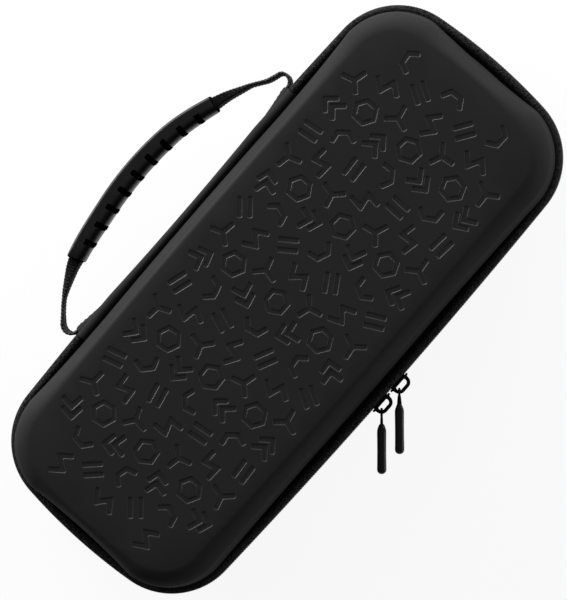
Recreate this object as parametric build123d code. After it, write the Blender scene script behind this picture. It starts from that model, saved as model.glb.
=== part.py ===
from build123d import *
import math
import os

# A zipped carrying case for a handheld game console: two moulded shells joined by a zip on three
# sides and by a cloth spine with a webbing handle on the fourth.
# Millimetres, +Z up, +X along the case, +Y towards the spine. Z is 0 under the base.

# Outline of the zipped rim, seen from above: bowed sides joined by round corners
CASE_LENGTH = 320.0
CASE_WIDTH = 139.0
LONG_SIDE_RADIUS = 3430.0
SHORT_SIDE_RADIUS = 296.0
CORNER_RADIUS = 37.6

# Moulded shells
BASE_HEIGHT = 36.0
LID_HEIGHT = 31.0
WALL_INSET = 6.6
WALL = 3.5
SHOULDER_RADIUS = 10.5
SHELL_PARTING = 0.6

# Debossed motifs on the lid
MOTIF_DEPTH = 0.5
MOTIF_STROKE = 2.6
MOTIF_REACH = 7.0
MOTIF_PITCH_X = 16.4
MOTIF_PITCH_Y = 14.2
MOTIF_EDGE = 0.8
ZIGZAG_STEP = 4.4
ZIGZAG_RISE = 3.0
BAR_LENGTH = 10.6
CHEVRON_ANGLE = 90.0

# Zip: cloth tape arched over the rim, and a coil of teeth along its edge
TAPE = 0.8
TAPE_FACE = 0.4
TAPE_ARCH_RADIUS = 2.4
TAPE_ARCH_CENTRE = 3.6
TAPE_FOOT = 1.4
TEETH_GAP = 0.55
TEETH_HEIGHT = 1.35
TEETH_DEPTH = 1.6

# Zip sliders and their pulls
SLIDER_LENGTH = 12.5
SLIDER_HALF_HEIGHT = 3.3
SLIDER_PLATE = 1.1
SLIDER_CLEARANCE = 0.2
SLIDER_INNER_CLEARANCE = 0.3
SLIDER_POST = 0.8
SLIDER_POST_LENGTH = 2.4
SLIDER_MIDDLE = 0.9
SLIDER_SPACING = 13.4
BRIDGE_LENGTH = 10.0
BRIDGE_REACH = 4.4
BRIDGE_WIRE = 1.7
BRIDGE_BEND = 2.6
PULL_ANGLE = 48.5
PULL_CORD = 1.2
PULL_CORD_CLEARANCE = 0.15
PULL_CORD_LENGTH = 6.1
PULL_LENGTH = 25.0
PULL_WIDTH = 4.7
PULL_THICKNESS = 4.6
PULL_EDGE = 1.3

# Cloth spine and the handle sewn to it
SPINE_HALF_LENGTH = 81.6
SPINE_INSET = 1.5
SPINE_END_GAP = 0.3
SPINE_LID_GAP = 0.3
ANCHOR_LENGTH = 30.0
ANCHOR_COVER = 0.8
ANCHOR_TIP_INSET = 0.6
ANCHOR_TOP_DROP = 0.8
ANCHOR_MARGIN = 2.0
ANCHOR_CLEARANCE = 0.25
STRAP = 1.4
STRAP_WIDTH = 12.0
STRAP_DROP = 9.0
STRAP_TAIL = 5.0
STRAP_STANDOFF = 0.8
STRAP_BEND_RADIUS = 4.5
STRAP_END_SLOPE = 31.0
STRAP_SHOULDER_RADIUS = 50.0
GRIP_LENGTH = 104.0
GRIP_ARCH_RADIUS = 167.0
GRIP_WIDTH = 15.0
GRIP_SKIN = 1.9
GRIP_MIDDLE = 7.0
GRIP_END = 4.4
GRIP_NOTCHES = 9
GRIP_NOTCH_PITCH = 11.0
GRIP_NOTCH = 2.8
GRIP_NOTCH_DEPTH = 1.0
GRIP_EDGE = 1.4
GRIP_INNER_EDGE = 3.5

# Inside: bound edges, foam tray and mesh pocket
BINDING = 0.8
BINDING_HEIGHT = 5.4
TRAY_CLEARANCE = 0.3
TRAY_HEIGHT = 12.0
TRAY_FLOOR = 4.0
TRAY_RIM = 5.0
NET = 0.8
NET_LEVEL = 16.0
NET_CLEARANCE = 0.15
NET_FRONT_GAP = 22.0
NET_GAP_COLUMNS = 14
NET_GAP_ROWS = 7
NET_STRAND = 2.4
NET_BORDER = 7.0
HEM_WIDTH = 7.0
HEM_THICKNESS = 2.4

# Places worked out from the sizes above
ZIP = BASE_HEIGHT
LID_TOP = BASE_HEIGHT + LID_HEIGHT
CAVITY_INSET = WALL_INSET + WALL
RIM_BACK = CASE_WIDTH / 2
LONG_CENTRE = RIM_BACK - LONG_SIDE_RADIUS
SHORT_CENTRE = CASE_LENGTH / 2 - SHORT_SIDE_RADIUS


def corner_centre():
    """Centre of the back right corner: an arc that touches a long and a short side from inside."""
    long_reach = LONG_SIDE_RADIUS - CORNER_RADIUS
    short_reach = SHORT_SIDE_RADIUS - CORNER_RADIUS
    span = math.hypot(SHORT_CENTRE, LONG_CENTRE)
    along = (long_reach**2 - short_reach**2 + span**2) / (2 * span)
    aside = math.sqrt(long_reach**2 - along**2)
    ux = SHORT_CENTRE / span
    uy = -LONG_CENTRE / span
    return ux * along + uy * aside, LONG_CENTRE + uy * along - ux * aside


CORNER_X, CORNER_Y = corner_centre()
LONG_END = math.degrees(math.atan2(CORNER_Y - LONG_CENTRE, CORNER_X))
SHORT_END = math.degrees(math.atan2(CORNER_Y, CORNER_X - SHORT_CENTRE))
SPINE_END = math.degrees(math.acos(SPINE_HALF_LENGTH / LONG_SIDE_RADIUS))
RIM_AT_ANCHOR = LONG_CENTRE + math.sqrt(LONG_SIDE_RADIUS**2 - SPINE_HALF_LENGTH**2)
STRAP_TAIL_Y = RIM_AT_ANCHOR + STRAP_STANDOFF + STRAP / 2


def rim_arcs():
    """The rim as arcs (centre x, centre y, radius, start, end), anticlockwise from the right end."""
    long_r = LONG_SIDE_RADIUS
    short_r = SHORT_SIDE_RADIUS
    bend = CORNER_RADIUS
    return [
        (SHORT_CENTRE, 0, short_r, -SHORT_END, SHORT_END),
        (CORNER_X, CORNER_Y, bend, SHORT_END, LONG_END),
        (0, LONG_CENTRE, long_r, LONG_END, 180 - LONG_END),
        (-CORNER_X, CORNER_Y, bend, 180 - LONG_END, 180 - SHORT_END),
        (-SHORT_CENTRE, 0, short_r, 180 - SHORT_END, 180 + SHORT_END),
        (-CORNER_X, -CORNER_Y, bend, 180 + SHORT_END, 180 + LONG_END),
        (0, -LONG_CENTRE, long_r, 180 + LONG_END, 360 - LONG_END),
        (CORNER_X, -CORNER_Y, bend, 360 - LONG_END, 360 - SHORT_END),
    ]


def zip_arcs():
    """The rim without the spine's stretch of the back."""
    arcs = rim_arcs()
    x, y, radius, start, end = arcs[2]
    gap = math.degrees(SPINE_END_GAP / LONG_SIDE_RADIUS)
    right = (x, y, radius, start, SPINE_END - gap)
    left = (x, y, radius, 180 - SPINE_END + gap, end)
    return arcs[:2] + [right, left] + arcs[3:]


def plan(inset):
    """The rim's outline moved inwards, as a face at z 0."""
    edges = [
        CenterArc((x, y), radius - inset, start, end - start)
        for x, y, radius, start, end in rim_arcs()
    ]
    return make_face(edges)


def run_along(profile, arcs):
    """Carries a section drawn with x outwards from the rim and y above the zip along the arcs."""
    body = Part()
    for x, y, radius, start, end in arcs:
        angle = math.radians(start)
        out = Vector(math.cos(angle), math.sin(angle), 0)
        origin = Vector(x, y, ZIP) + out * radius
        section = Plane(origin, x_dir=out, z_dir=(out.Y, -out.X, 0)) * profile
        body += revolve(section, Axis((x, y, 0), (0, 0, 1)), end - start)
    return body


def block(inset, bottom, top):
    return Pos(0, 0, bottom) * extrude(plan(inset), top - bottom)


def upper_edges(body):
    return body.edges().group_by(Axis.Z)[-1]


def lower_edges(body):
    return body.edges().group_by(Axis.Z)[0]


# Shells


def stroke(*points):
    """Strip of the motifs' stroke width along straight runs, mitred at their corners."""
    path = [Vector(x, y) for x, y in points]
    sides = []
    for near, far in zip(path, path[1:]):
        run = (far - near).normalized()
        sides.append(Vector(-run.Y, run.X))
    left = []
    right = []
    for point, before, after in zip(path, sides[:1] + sides, sides + sides[-1:]):
        mitre = (before + after) * (MOTIF_STROKE / 2 / (1 + before.dot(after)))
        left.append(point + mitre)
        right.append(point - mitre)
    return make_face(Polyline(*left, *reversed(right), close=True))


def hexagon_ring():
    outer = RegularPolygon(MOTIF_REACH, 6)
    return outer - RegularPolygon(MOTIF_REACH - MOTIF_STROKE, 6)


def half_hexagon():
    ring = MOTIF_REACH - MOTIF_STROKE / 2
    middle = ring * math.sin(math.radians(60)) / 2
    turns = [math.radians(60 * n) for n in range(4)]
    return stroke(*[(ring * math.cos(turn), ring * math.sin(turn) - middle) for turn in turns])


def zigzag():
    return stroke(*[((n - 1.5) * ZIGZAG_STEP, ZIGZAG_RISE * (-1) ** n) for n in range(4)])


def three_spokes():
    spoke = Pos(0, MOTIF_REACH / 2) * Rectangle(MOTIF_STROKE, MOTIF_REACH)
    return spoke + Rot(0, 0, 120) * spoke + Rot(0, 0, 240) * spoke


def bar_pair():
    bar = Rectangle(BAR_LENGTH, MOTIF_STROKE)
    return Pos(0, MOTIF_STROKE) * bar + Pos(0, -MOTIF_STROKE) * bar


def nested_chevrons():
    half = math.radians(CHEVRON_ANGLE / 2)
    wide = MOTIF_REACH * math.sin(half)
    rise = MOTIF_REACH * math.cos(half) / 2
    chevron = stroke((-wide, -rise), (0, rise), (wide, -rise))
    return Pos(0, MOTIF_STROKE) * chevron + Pos(0, -MOTIF_STROKE) * chevron


def motif_places():
    """Staggered rows of (x, y, turn, kind) that keep whole motifs on the flat of the lid."""
    flat_inset = WALL_INSET + SHOULDER_RADIUS + MOTIF_REACH + MOTIF_EDGE
    field = plan(flat_inset)
    columns = int(CASE_LENGTH / MOTIF_PITCH_X / 2)
    rows = int(CASE_WIDTH / MOTIF_PITCH_Y / 2)
    places = []
    for row in range(-rows, rows + 1):
        for column in range(-columns, columns + 1):
            x = (column + 0.5 * (row % 2)) * MOTIF_PITCH_X
            y = row * MOTIF_PITCH_Y
            if field.is_inside((x, y, 0)):
                number = 7 * column + 11 * row
                places.append((x, y, 37 * number % 360, (2 * column + 3 * row) % 6))
    return places


def motif_cutter():
    kinds = [hexagon_ring(), nested_chevrons(), zigzag(), three_spokes(), half_hexagon(), bar_pair()]
    tools = []
    for x, y, turn, kind in motif_places():
        flat = Pos(x, y, LID_TOP - MOTIF_DEPTH) * Rot(0, 0, turn) * kinds[kind]
        tools += extrude(flat, 2 * MOTIF_DEPTH).solids()
    return tools


def lid_shell():
    outer = block(WALL_INSET, ZIP + SHELL_PARTING, LID_TOP)
    outer = fillet(upper_edges(outer), SHOULDER_RADIUS)
    inner = block(CAVITY_INSET, ZIP, LID_TOP - WALL)
    inner = fillet(upper_edges(inner), SHOULDER_RADIUS - WALL)
    return outer - inner - motif_cutter()


def base_shell():
    outer = block(WALL_INSET, 0, ZIP - SHELL_PARTING)
    outer = fillet(lower_edges(outer), SHOULDER_RADIUS)
    inner = block(CAVITY_INSET, WALL, ZIP)
    inner = fillet(lower_edges(inner), SHOULDER_RADIUS - WALL)
    return outer - inner


# Zip


def arch_section(face, start, wall_gap):
    """Cloth arched over the rim: from its edge, over the top and down to a foot at the shell."""
    centre = (face - TAPE_ARCH_RADIUS, TAPE_ARCH_CENTRE)
    low = TAPE_ARCH_CENTRE - start
    outer = Circle(TAPE_ARCH_RADIUS) - Circle(TAPE_ARCH_RADIUS - TAPE)
    half = Pos(0, TAPE_ARCH_RADIUS / 2) * Rectangle(2 * TAPE_ARCH_RADIUS, TAPE_ARCH_RADIUS)
    arch = Pos(*centre) * (outer & half)
    leg = Pos(face - TAPE / 2, start + low / 2) * Rectangle(TAPE, low)
    fall = TAPE_ARCH_CENTRE - TAPE_FOOT
    back = face - 2 * TAPE_ARCH_RADIUS
    inner_leg = Pos(back + TAPE / 2, TAPE_FOOT + fall / 2) * Rectangle(TAPE, fall)
    reach = back + TAPE + WALL_INSET - wall_gap
    foot = Pos(back + TAPE - reach / 2, TAPE_FOOT + TAPE / 2) * Rectangle(reach, TAPE)
    return arch + leg + inner_leg + foot


def teeth_section():
    middle = TEETH_GAP + TEETH_HEIGHT / 2
    return Pos(-TEETH_DEPTH / 2, middle) * Rectangle(TEETH_DEPTH, TEETH_HEIGHT)


def tape_section():
    return arch_section(-TAPE_FACE, TEETH_GAP + TEETH_HEIGHT, 0)


def zip_half(section, upper):
    profile = section if upper else mirror(section, Plane.XZ)
    return run_along(profile, zip_arcs())


def front_frame(x):
    """Frame on the front rim at a distance along it: x along the zip, y inwards, z up."""
    angle = math.asin(x / LONG_SIDE_RADIUS)
    out = Vector(math.sin(angle), -math.cos(angle), 0)
    origin = Vector(0, -LONG_CENTRE, ZIP) + out * LONG_SIDE_RADIUS
    return Plane(origin, x_dir=(-out.Y, out.X, 0), z_dir=(0, 0, 1))


def slider_plate(outward):
    """Shield-shaped plate at a distance outwards from the rim line."""
    face = SlotOverall(SLIDER_LENGTH, 2 * SLIDER_HALF_HEIGHT)
    return Pos(0, -outward, 0) * extrude(Plane.XZ * face, SLIDER_PLATE)


def bridge_corner(side):
    """Middle of the bridge wire's bend, along the zip and outwards from the rim."""
    x = side * (BRIDGE_LENGTH / 2 - BRIDGE_WIRE / 2 - BRIDGE_BEND)
    return x, SLIDER_CLEARANCE + SLIDER_PLATE + BRIDGE_REACH - BRIDGE_WIRE / 2 - BRIDGE_BEND


def slider_bridge():
    """Round wire bent into a D, standing on the outer plate."""
    x, out = bridge_corner(1)
    root = SLIDER_CLEARANCE + SLIDER_PLATE / 2
    edge = x + BRIDGE_BEND
    top = out + BRIDGE_BEND
    path = FilletPolyline((-edge, -root), (-edge, -top), (edge, -top), (edge, -root), radius=BRIDGE_BEND)
    start = Plane((-edge, -root, 0), z_dir=(0, -1, 0))
    return sweep(start * Circle(BRIDGE_WIRE / 2), path)


def slider(x, post_side):
    """Two plates astride the teeth, the post between them and the bridge for the pull."""
    inner_face = TEETH_DEPTH + SLIDER_INNER_CLEARANCE
    outer = slider_plate(SLIDER_CLEARANCE)
    inner = slider_plate(-inner_face - SLIDER_PLATE)
    depth = inner_face + SLIDER_CLEARANCE
    middle = (inner_face - SLIDER_CLEARANCE) / 2
    along = post_side * (SLIDER_LENGTH / 2 - SLIDER_POST_LENGTH)
    post = Pos(along, middle, 0) * Box(SLIDER_POST_LENGTH, depth, SLIDER_POST)
    return front_frame(x) * (outer + inner + post + slider_bridge())


def pull_frame(x):
    """Frame where the cord bears on the bridge: x along the pull, y along the wire, z up."""
    corner, out = bridge_corner(-1)
    angle = math.radians(PULL_ANGLE)
    away = Vector(-math.sin(angle), -math.cos(angle), 0)
    origin = Vector(corner, -out, 0) + away * BRIDGE_BEND
    return front_frame(x) * Plane(origin, x_dir=away, z_dir=(0, 0, 1)).location


CORD_TURN = BRIDGE_WIRE / 2 + PULL_CORD_CLEARANCE + PULL_CORD / 2


def pull_cord(x):
    """Doubled cord: a half turn round the wire and two strands to the tab."""
    strand = extrude(Plane.YZ * (Pos(0, CORD_TURN) * Circle(PULL_CORD / 2)), PULL_CORD_LENGTH)
    bend_face = Plane.YZ * (Pos(0, CORD_TURN) * Circle(PULL_CORD / 2))
    bend = revolve(bend_face, Axis((0, 0, 0), (0, -1, 0)), 180)
    return pull_frame(x) * (strand + mirror(strand, Plane.XY) + bend)


def pull_tab(x):
    """Moulded bar with a rounded tip and tapered shoulders."""
    neck = PULL_WIDTH / 2
    start = PULL_CORD_LENGTH
    end = start + PULL_LENGTH
    half = PULL_WIDTH / 2
    outline = Polyline(
        (start, -half + PULL_EDGE),
        (start + neck, -half),
        (end - half, -half),
        (end - half, half),
        (start + neck, half),
        (start, half - PULL_EDGE),
        close=True,
    )
    flat = make_face(outline) + Pos(end - half, 0) * Circle(half)
    bar = Pos(0, 0, -PULL_THICKNESS / 2) * extrude(flat, PULL_THICKNESS)
    bar = fillet(upper_edges(bar) + lower_edges(bar), PULL_EDGE)
    return pull_frame(x) * bar


# Spine and handle


def hinge_spine():
    """Cloth strip over both halves of the rim, with a foot on each shell."""
    upper = arch_section(-SPINE_INSET, 0, SPINE_LID_GAP)
    lower = mirror(arch_section(-SPINE_INSET, 0, 0), Plane.XZ)
    arc = (0, LONG_CENTRE, LONG_SIDE_RADIUS, SPINE_END, 180 - SPINE_END)
    return run_along(upper + lower, [arc])


STRAP_LEVEL = ZIP - STRAP_DROP


def strap_lines():
    """Middle line of the strap in plan, right half, as edges from the tail to the arch's top."""
    slope = math.radians(STRAP_END_SLOPE)
    bend = Vector(SPINE_HALF_LENGTH, STRAP_TAIL_Y + STRAP_BEND_RADIUS)
    leave = bend + Vector(math.sin(slope), math.cos(slope)) * STRAP_BEND_RADIUS
    arch_end = math.asin(GRIP_LENGTH / 2 / GRIP_ARCH_RADIUS)
    shoulder_x = GRIP_LENGTH / 2 + STRAP_SHOULDER_RADIUS * (math.sin(slope) - math.sin(arch_end))
    run = (leave.X - shoulder_x) / math.cos(slope)
    join = leave + Vector(-math.cos(slope), math.sin(slope)) * run
    shoulder = join - Vector(math.sin(slope), math.cos(slope)) * STRAP_SHOULDER_RADIUS
    sink = GRIP_ARCH_RADIUS - STRAP_SHOULDER_RADIUS
    arch = shoulder - Vector(math.sin(arch_end), math.cos(arch_end)) * sink
    arch_turn = math.degrees(arch_end)
    tail = Line((SPINE_HALF_LENGTH - STRAP_TAIL, STRAP_TAIL_Y), (SPINE_HALF_LENGTH, STRAP_TAIL_Y))
    turn = CenterArc((bend.X, bend.Y), STRAP_BEND_RADIUS, -90, 180 - STRAP_END_SLOPE)
    straight = Line((leave.X, leave.Y), (join.X, join.Y))
    ease_turn = STRAP_END_SLOPE - arch_turn
    ease = CenterArc((shoulder.X, shoulder.Y), STRAP_SHOULDER_RADIUS, 90 - STRAP_END_SLOPE, ease_turn)
    top = CenterArc((0, arch.Y), GRIP_ARCH_RADIUS, 90 - arch_turn, arch_turn)
    return [tail, turn, straight, ease, top], arch.Y, arch_turn


STRAP_EDGES, ARCH_Y, ARCH_TURN = strap_lines()


def arch_band(inner_radius, outer_radius, turn, width):
    """Upright strip of the handle's arch, turn degrees to each side of its top."""
    ring = Circle(outer_radius) - Circle(inner_radius)
    wedge_reach = 2 * outer_radius
    side = math.radians(turn)
    wedge = make_face(
        Polyline(
            (0, 0),
            (wedge_reach * math.sin(side), wedge_reach * math.cos(side)),
            (-wedge_reach * math.sin(side), wedge_reach * math.cos(side)),
            close=True,
        )
    )
    return Pos(0, ARCH_Y, STRAP_LEVEL - width / 2) * extrude(ring & wedge, width)


def handle_strap():
    path = Wire(STRAP_EDGES + [edge.mirror(Plane.YZ) for edge in STRAP_EDGES])
    strip = Pos(0, 0, STRAP_LEVEL - STRAP_WIDTH / 2) * extrude(trace(path, STRAP), STRAP_WIDTH)
    lining_outer = GRIP_ARCH_RADIUS - STRAP / 2
    lining = arch_band(lining_outer - STRAP, lining_outer, ARCH_TURN, STRAP_WIDTH)
    return strip + lining


def grip_inner_arc():
    """Centre height and radius of the grip's arc towards the case: deep in the middle, thin at the ends."""
    turn = math.radians(ARCH_TURN)
    end = GRIP_ARCH_RADIUS - GRIP_END
    middle = GRIP_ARCH_RADIUS - GRIP_MIDDLE
    drop = middle - end * math.cos(turn)
    radius = ((end * math.sin(turn)) ** 2 + drop**2) / (2 * drop)
    return ARCH_Y + middle - radius, radius


def handle_grip():
    """Rubber sleeve round the doubled strap, notched on the side towards the case."""
    outer = GRIP_ARCH_RADIUS + STRAP / 2 + GRIP_SKIN
    inner_y, inner_radius = grip_inner_arc()
    sleeve = arch_band(GRIP_ARCH_RADIUS - 2 * GRIP_MIDDLE, outer, ARCH_TURN, GRIP_WIDTH)
    sleeve -= Pos(0, inner_y, STRAP_LEVEL) * Cylinder(inner_radius, 2 * GRIP_WIDTH)
    for radius, edge in ((inner_radius, GRIP_INNER_EDGE), (outer, GRIP_EDGE)):
        arcs = sleeve.edges().filter_by(GeomType.CIRCLE)
        sleeve = fillet(arcs.filter_by(lambda arc: math.isclose(arc.radius, radius)), edge)
    bore_outer = GRIP_ARCH_RADIUS + STRAP / 2
    bore = arch_band(bore_outer - 2 * STRAP, bore_outer, ARCH_TURN + 1, STRAP_WIDTH)
    for number in range(GRIP_NOTCHES):
        along = (number - (GRIP_NOTCHES - 1) / 2) * GRIP_NOTCH_PITCH
        turn = math.degrees(along / inner_radius)
        notch = Box(GRIP_NOTCH, 2 * GRIP_NOTCH_DEPTH, GRIP_WIDTH)
        sleeve -= Pos(0, inner_y, STRAP_LEVEL) * Rot(0, 0, turn) * Pos(0, inner_radius, 0) * notch
    return sleeve - bore


def handle_anchor(side):
    """Padded end of the spine on the base's wall, with the slot that the strap's tail is sewn into."""
    far = SPINE_HALF_LENGTH
    near = far - ANCHOR_LENGTH
    top = ZIP - ANCHOR_TOP_DROP
    bottom = STRAP_LEVEL - STRAP_WIDTH / 2 - ANCHOR_MARGIN
    slot_end = far - STRAP_TAIL - ANCHOR_CLEARANCE - ANCHOR_COVER
    face = STRAP_TAIL_Y + STRAP / 2 + ANCHOR_CLEARANCE + ANCHOR_COVER
    outline = Polyline(
        (near, RIM_AT_ANCHOR - 2 * WALL_INSET),
        (far, RIM_AT_ANCHOR - 2 * WALL_INSET),
        (far, face),
        (slot_end, face),
        (near, RIM_BACK - ANCHOR_TIP_INSET),
        close=True,
    )
    pad = Pos(0, 0, bottom) * extrude(make_face(outline), top - bottom)
    pad -= block(WALL_INSET, 0, ZIP)
    arch_depth = TAPE_ARCH_CENTRE + TAPE_ARCH_RADIUS + ANCHOR_CLEARANCE
    pad -= block(SPINE_INSET - ANCHOR_CLEARANCE, ZIP - arch_depth, ZIP)
    slot = Box(2 * STRAP_TAIL, STRAP, STRAP_WIDTH)
    slot = offset(slot, ANCHOR_CLEARANCE, kind=Kind.INTERSECTION)
    pad -= Pos(far, STRAP_TAIL_Y, STRAP_LEVEL) * slot
    return pad if side > 0 else mirror(pad, Plane.YZ)


# Inside


def binding(upper):
    ring = plan(CAVITY_INSET) - plan(CAVITY_INSET + BINDING)
    low = ZIP + SHELL_PARTING if upper else ZIP - SHELL_PARTING - BINDING_HEIGHT
    return Pos(0, 0, low) * extrude(ring, BINDING_HEIGHT)


def console_tray():
    inset = CAVITY_INSET + TRAY_CLEARANCE
    tray = block(inset, WALL, WALL + TRAY_HEIGHT)
    tray = fillet(lower_edges(tray), SHOULDER_RADIUS - WALL)
    recess = block(inset + TRAY_RIM, WALL + TRAY_FLOOR, WALL + 2 * TRAY_HEIGHT)
    return tray - recess


POCKET_FRONT = NET_FRONT_GAP - RIM_BACK + CAVITY_INSET
NET_BOTTOM = ZIP + NET_LEVEL


def behind_pocket_front(inset):
    keep = Pos(0, POCKET_FRONT + CASE_WIDTH / 2) * Rectangle(CASE_LENGTH, CASE_WIDTH)
    return plan(inset) & keep


def lid_pocket_net():
    """Flat net with rows of gaps, held by its edge at the lid's wall."""
    sheet = behind_pocket_front(CAVITY_INSET + NET_CLEARANCE)
    field = behind_pocket_front(CAVITY_INSET + NET_BORDER).bounding_box()
    low = field.min.Y + HEM_WIDTH / 2 + NET_STRAND
    pitch_x = (field.size.X - 2 * CORNER_RADIUS + NET_BORDER) / NET_GAP_COLUMNS
    pitch_y = (field.max.Y - low) / NET_GAP_ROWS
    gap = Rectangle(pitch_x - NET_STRAND, pitch_y - NET_STRAND)
    middle = Pos(0, (field.max.Y + low) / 2)
    gaps = middle * GridLocations(pitch_x, pitch_y, NET_GAP_COLUMNS, NET_GAP_ROWS) * gap
    return Pos(0, 0, NET_BOTTOM) * extrude(sheet - gaps, NET)


def lid_pocket_hem():
    """Elastic band along the pocket's free edge, under the net."""
    strip = Pos(0, POCKET_FRONT + HEM_WIDTH / 2) * Rectangle(CASE_LENGTH, HEM_WIDTH)
    flat = plan(CAVITY_INSET + NET_CLEARANCE) & strip
    return Pos(0, 0, NET_BOTTOM - HEM_THICKNESS) * extrude(flat, HEM_THICKNESS)


SLIDER_RIGHT = SLIDER_MIDDLE + SLIDER_SPACING / 2
SLIDER_LEFT = SLIDER_MIDDLE - SLIDER_SPACING / 2

PIECES = {
    "base_shell": base_shell(),
    "base_zip_tape": zip_half(tape_section(), upper=False),
    "base_zip_teeth": zip_half(teeth_section(), upper=False),
    "base_edge_binding": binding(upper=False),
    "console_tray": console_tray(),
    "hinge_spine": hinge_spine(),
    "handle_anchor_left": handle_anchor(-1),
    "handle_anchor_right": handle_anchor(1),
    "handle_strap": handle_strap(),
    "handle_grip": handle_grip(),
    "lid_shell": lid_shell(),
    "lid_zip_tape": zip_half(tape_section(), upper=True),
    "lid_zip_teeth": zip_half(teeth_section(), upper=True),
    "lid_edge_binding": binding(upper=True),
    "lid_pocket_net": lid_pocket_net(),
    "lid_pocket_hem": lid_pocket_hem(),
    "slider_left": slider(SLIDER_LEFT, 1),
    "slider_right": slider(SLIDER_RIGHT, -1),
    "pull_cord_left": pull_cord(SLIDER_LEFT),
    "pull_cord_right": pull_cord(SLIDER_RIGHT),
    "pull_tab_left": pull_tab(SLIDER_LEFT),
    "pull_tab_right": pull_tab(SLIDER_RIGHT),
}

os.makedirs("parts", exist_ok=True)
for name, piece in PIECES.items():
    export_step(piece, f"parts/{name}.step")
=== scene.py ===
import math

import bmesh
import bpy
from mathutils import Matrix, Vector
from mathutils.geometry import delaunay_2d_cdt


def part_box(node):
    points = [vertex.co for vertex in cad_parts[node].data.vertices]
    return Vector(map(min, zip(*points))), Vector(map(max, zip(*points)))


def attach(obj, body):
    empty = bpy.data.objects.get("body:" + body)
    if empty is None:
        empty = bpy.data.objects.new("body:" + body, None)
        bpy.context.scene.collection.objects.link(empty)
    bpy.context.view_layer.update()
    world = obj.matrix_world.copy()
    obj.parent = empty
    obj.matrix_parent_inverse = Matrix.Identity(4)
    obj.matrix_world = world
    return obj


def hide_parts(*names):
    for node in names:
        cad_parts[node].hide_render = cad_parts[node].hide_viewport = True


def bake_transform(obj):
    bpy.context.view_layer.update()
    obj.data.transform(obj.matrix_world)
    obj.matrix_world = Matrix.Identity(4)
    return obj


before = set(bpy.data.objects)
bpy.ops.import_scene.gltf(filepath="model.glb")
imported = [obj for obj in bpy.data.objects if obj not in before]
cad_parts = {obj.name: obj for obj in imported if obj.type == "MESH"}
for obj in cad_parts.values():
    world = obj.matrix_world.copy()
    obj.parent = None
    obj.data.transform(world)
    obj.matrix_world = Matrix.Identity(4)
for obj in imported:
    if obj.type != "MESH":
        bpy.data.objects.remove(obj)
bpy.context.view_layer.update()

# A zipped carrying case for a handheld game console, lying flat with its lid up.
# Metres, +Z up, +X along the case, +Y towards the cloth spine and its handle.

MM = 0.001


# Sizes read from the frame, and the sizes that its boxes don't show

RIM_LOW, RIM_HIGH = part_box("lid_zip_teeth")
LID_LOW, LID_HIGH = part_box("lid_shell")
TRAY_LOW, TRAY_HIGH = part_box("console_tray")
NET_LOW, NET_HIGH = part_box("lid_pocket_net")
HEM_LOW, HEM_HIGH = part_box("lid_pocket_hem")
STRAP_LOW, STRAP_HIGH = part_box("handle_strap")
GRIP_LOW, GRIP_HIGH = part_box("handle_grip")
ANCHOR_LOW, ANCHOR_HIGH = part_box("handle_anchor_right")

HALF_LENGTH = RIM_HIGH.x
HALF_WIDTH = -RIM_LOW.y
ZIP = (RIM_LOW.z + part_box("base_zip_teeth")[1].z) / 2
LID_TOP = LID_HIGH.z
WALL_INSET = HALF_LENGTH - LID_HIGH.x
SPINE_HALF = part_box("hinge_spine")[1].x
LONG_SIDE_RADIUS = 3430 * MM
SHORT_SIDE_RADIUS = 296 * MM
CORNER_RADIUS = 37.6 * MM
SHOULDER_RADIUS = 10.5 * MM
WALL = 3.5 * MM
CAVITY_INSET = WALL_INSET + WALL
LONG_CENTRE = HALF_WIDTH - LONG_SIDE_RADIUS
SHORT_CENTRE = HALF_LENGTH - SHORT_SIDE_RADIUS
LONG_STEPS = 72
SHORT_STEPS = 48
CORNER_STEPS = 30


# Building meshes


class Skin:
    """Points and faces of one piece while it is put together, with a UV place for each face corner."""

    def __init__(self):
        self.points = []
        self.faces = []

    def add_points(self, points):
        first = len(self.points)
        self.points.extend(points)
        return first

    def add_face(self, corners, places=None, finish=0):
        self.faces.append((corners, places or [(0.0, 0.0)] * len(corners), finish))

    def add_rings(self, rings, closed_ring=True, closed_run=False, finish=0, caps=False):
        """Skins rings of points with quads. UV is the distance along the run and round the ring.

        The finish is a material number, or a function of the places along and round that gives one.
        """
        count = len(rings[0])
        first = self.add_points([point for ring in rings for point in ring])
        along = distances([ring[0] for ring in rings], closed_run)
        around = distances(max(rings, key=ring_length), closed_ring)
        pick = finish if callable(finish) else lambda i, j: finish
        for i in range(len(along) - 1):
            row = first + i * count
            next_row = first + (i + 1) % len(rings) * count
            for j in range(len(around) - 1):
                k = (j + 1) % count
                places = [
                    (along[i], around[j]),
                    (along[i + 1], around[j]),
                    (along[i + 1], around[j + 1]),
                    (along[i], around[j + 1]),
                ]
                self.add_face((row + j, next_row + j, next_row + k, row + k), places, pick(i, j))
        if caps:
            for row in (first, first + (len(rings) - 1) * count):
                self.add_face(tuple(range(row, row + count)), None, pick(0, 0))
        return first

    def piece(self, name, materials, sharp=40):
        """Turns the skin into an object whose faces point outwards."""
        mesh = bmesh.new()
        corners = [mesh.verts.new(point) for point in self.points]
        places = mesh.loops.layers.uv.new("UVMap")
        for face_corners, uvs, finish in self.faces:
            face = mesh.faces.new([corners[index] for index in face_corners])
            face.smooth = True
            face.material_index = finish
            for loop, uv in zip(face.loops, uvs):
                loop[places].uv = uv
        bmesh.ops.recalc_face_normals(mesh, faces=mesh.faces)
        data = bpy.data.meshes.new(name)
        mesh.to_mesh(data)
        mesh.free()
        data.set_sharp_from_angle(angle=math.radians(sharp))
        for material in materials:
            data.materials.append(material)
        return show(name, data)


def show(name, data):
    piece = bpy.data.objects.new(name, data)
    bpy.context.scene.collection.objects.link(piece)
    return piece


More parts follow.
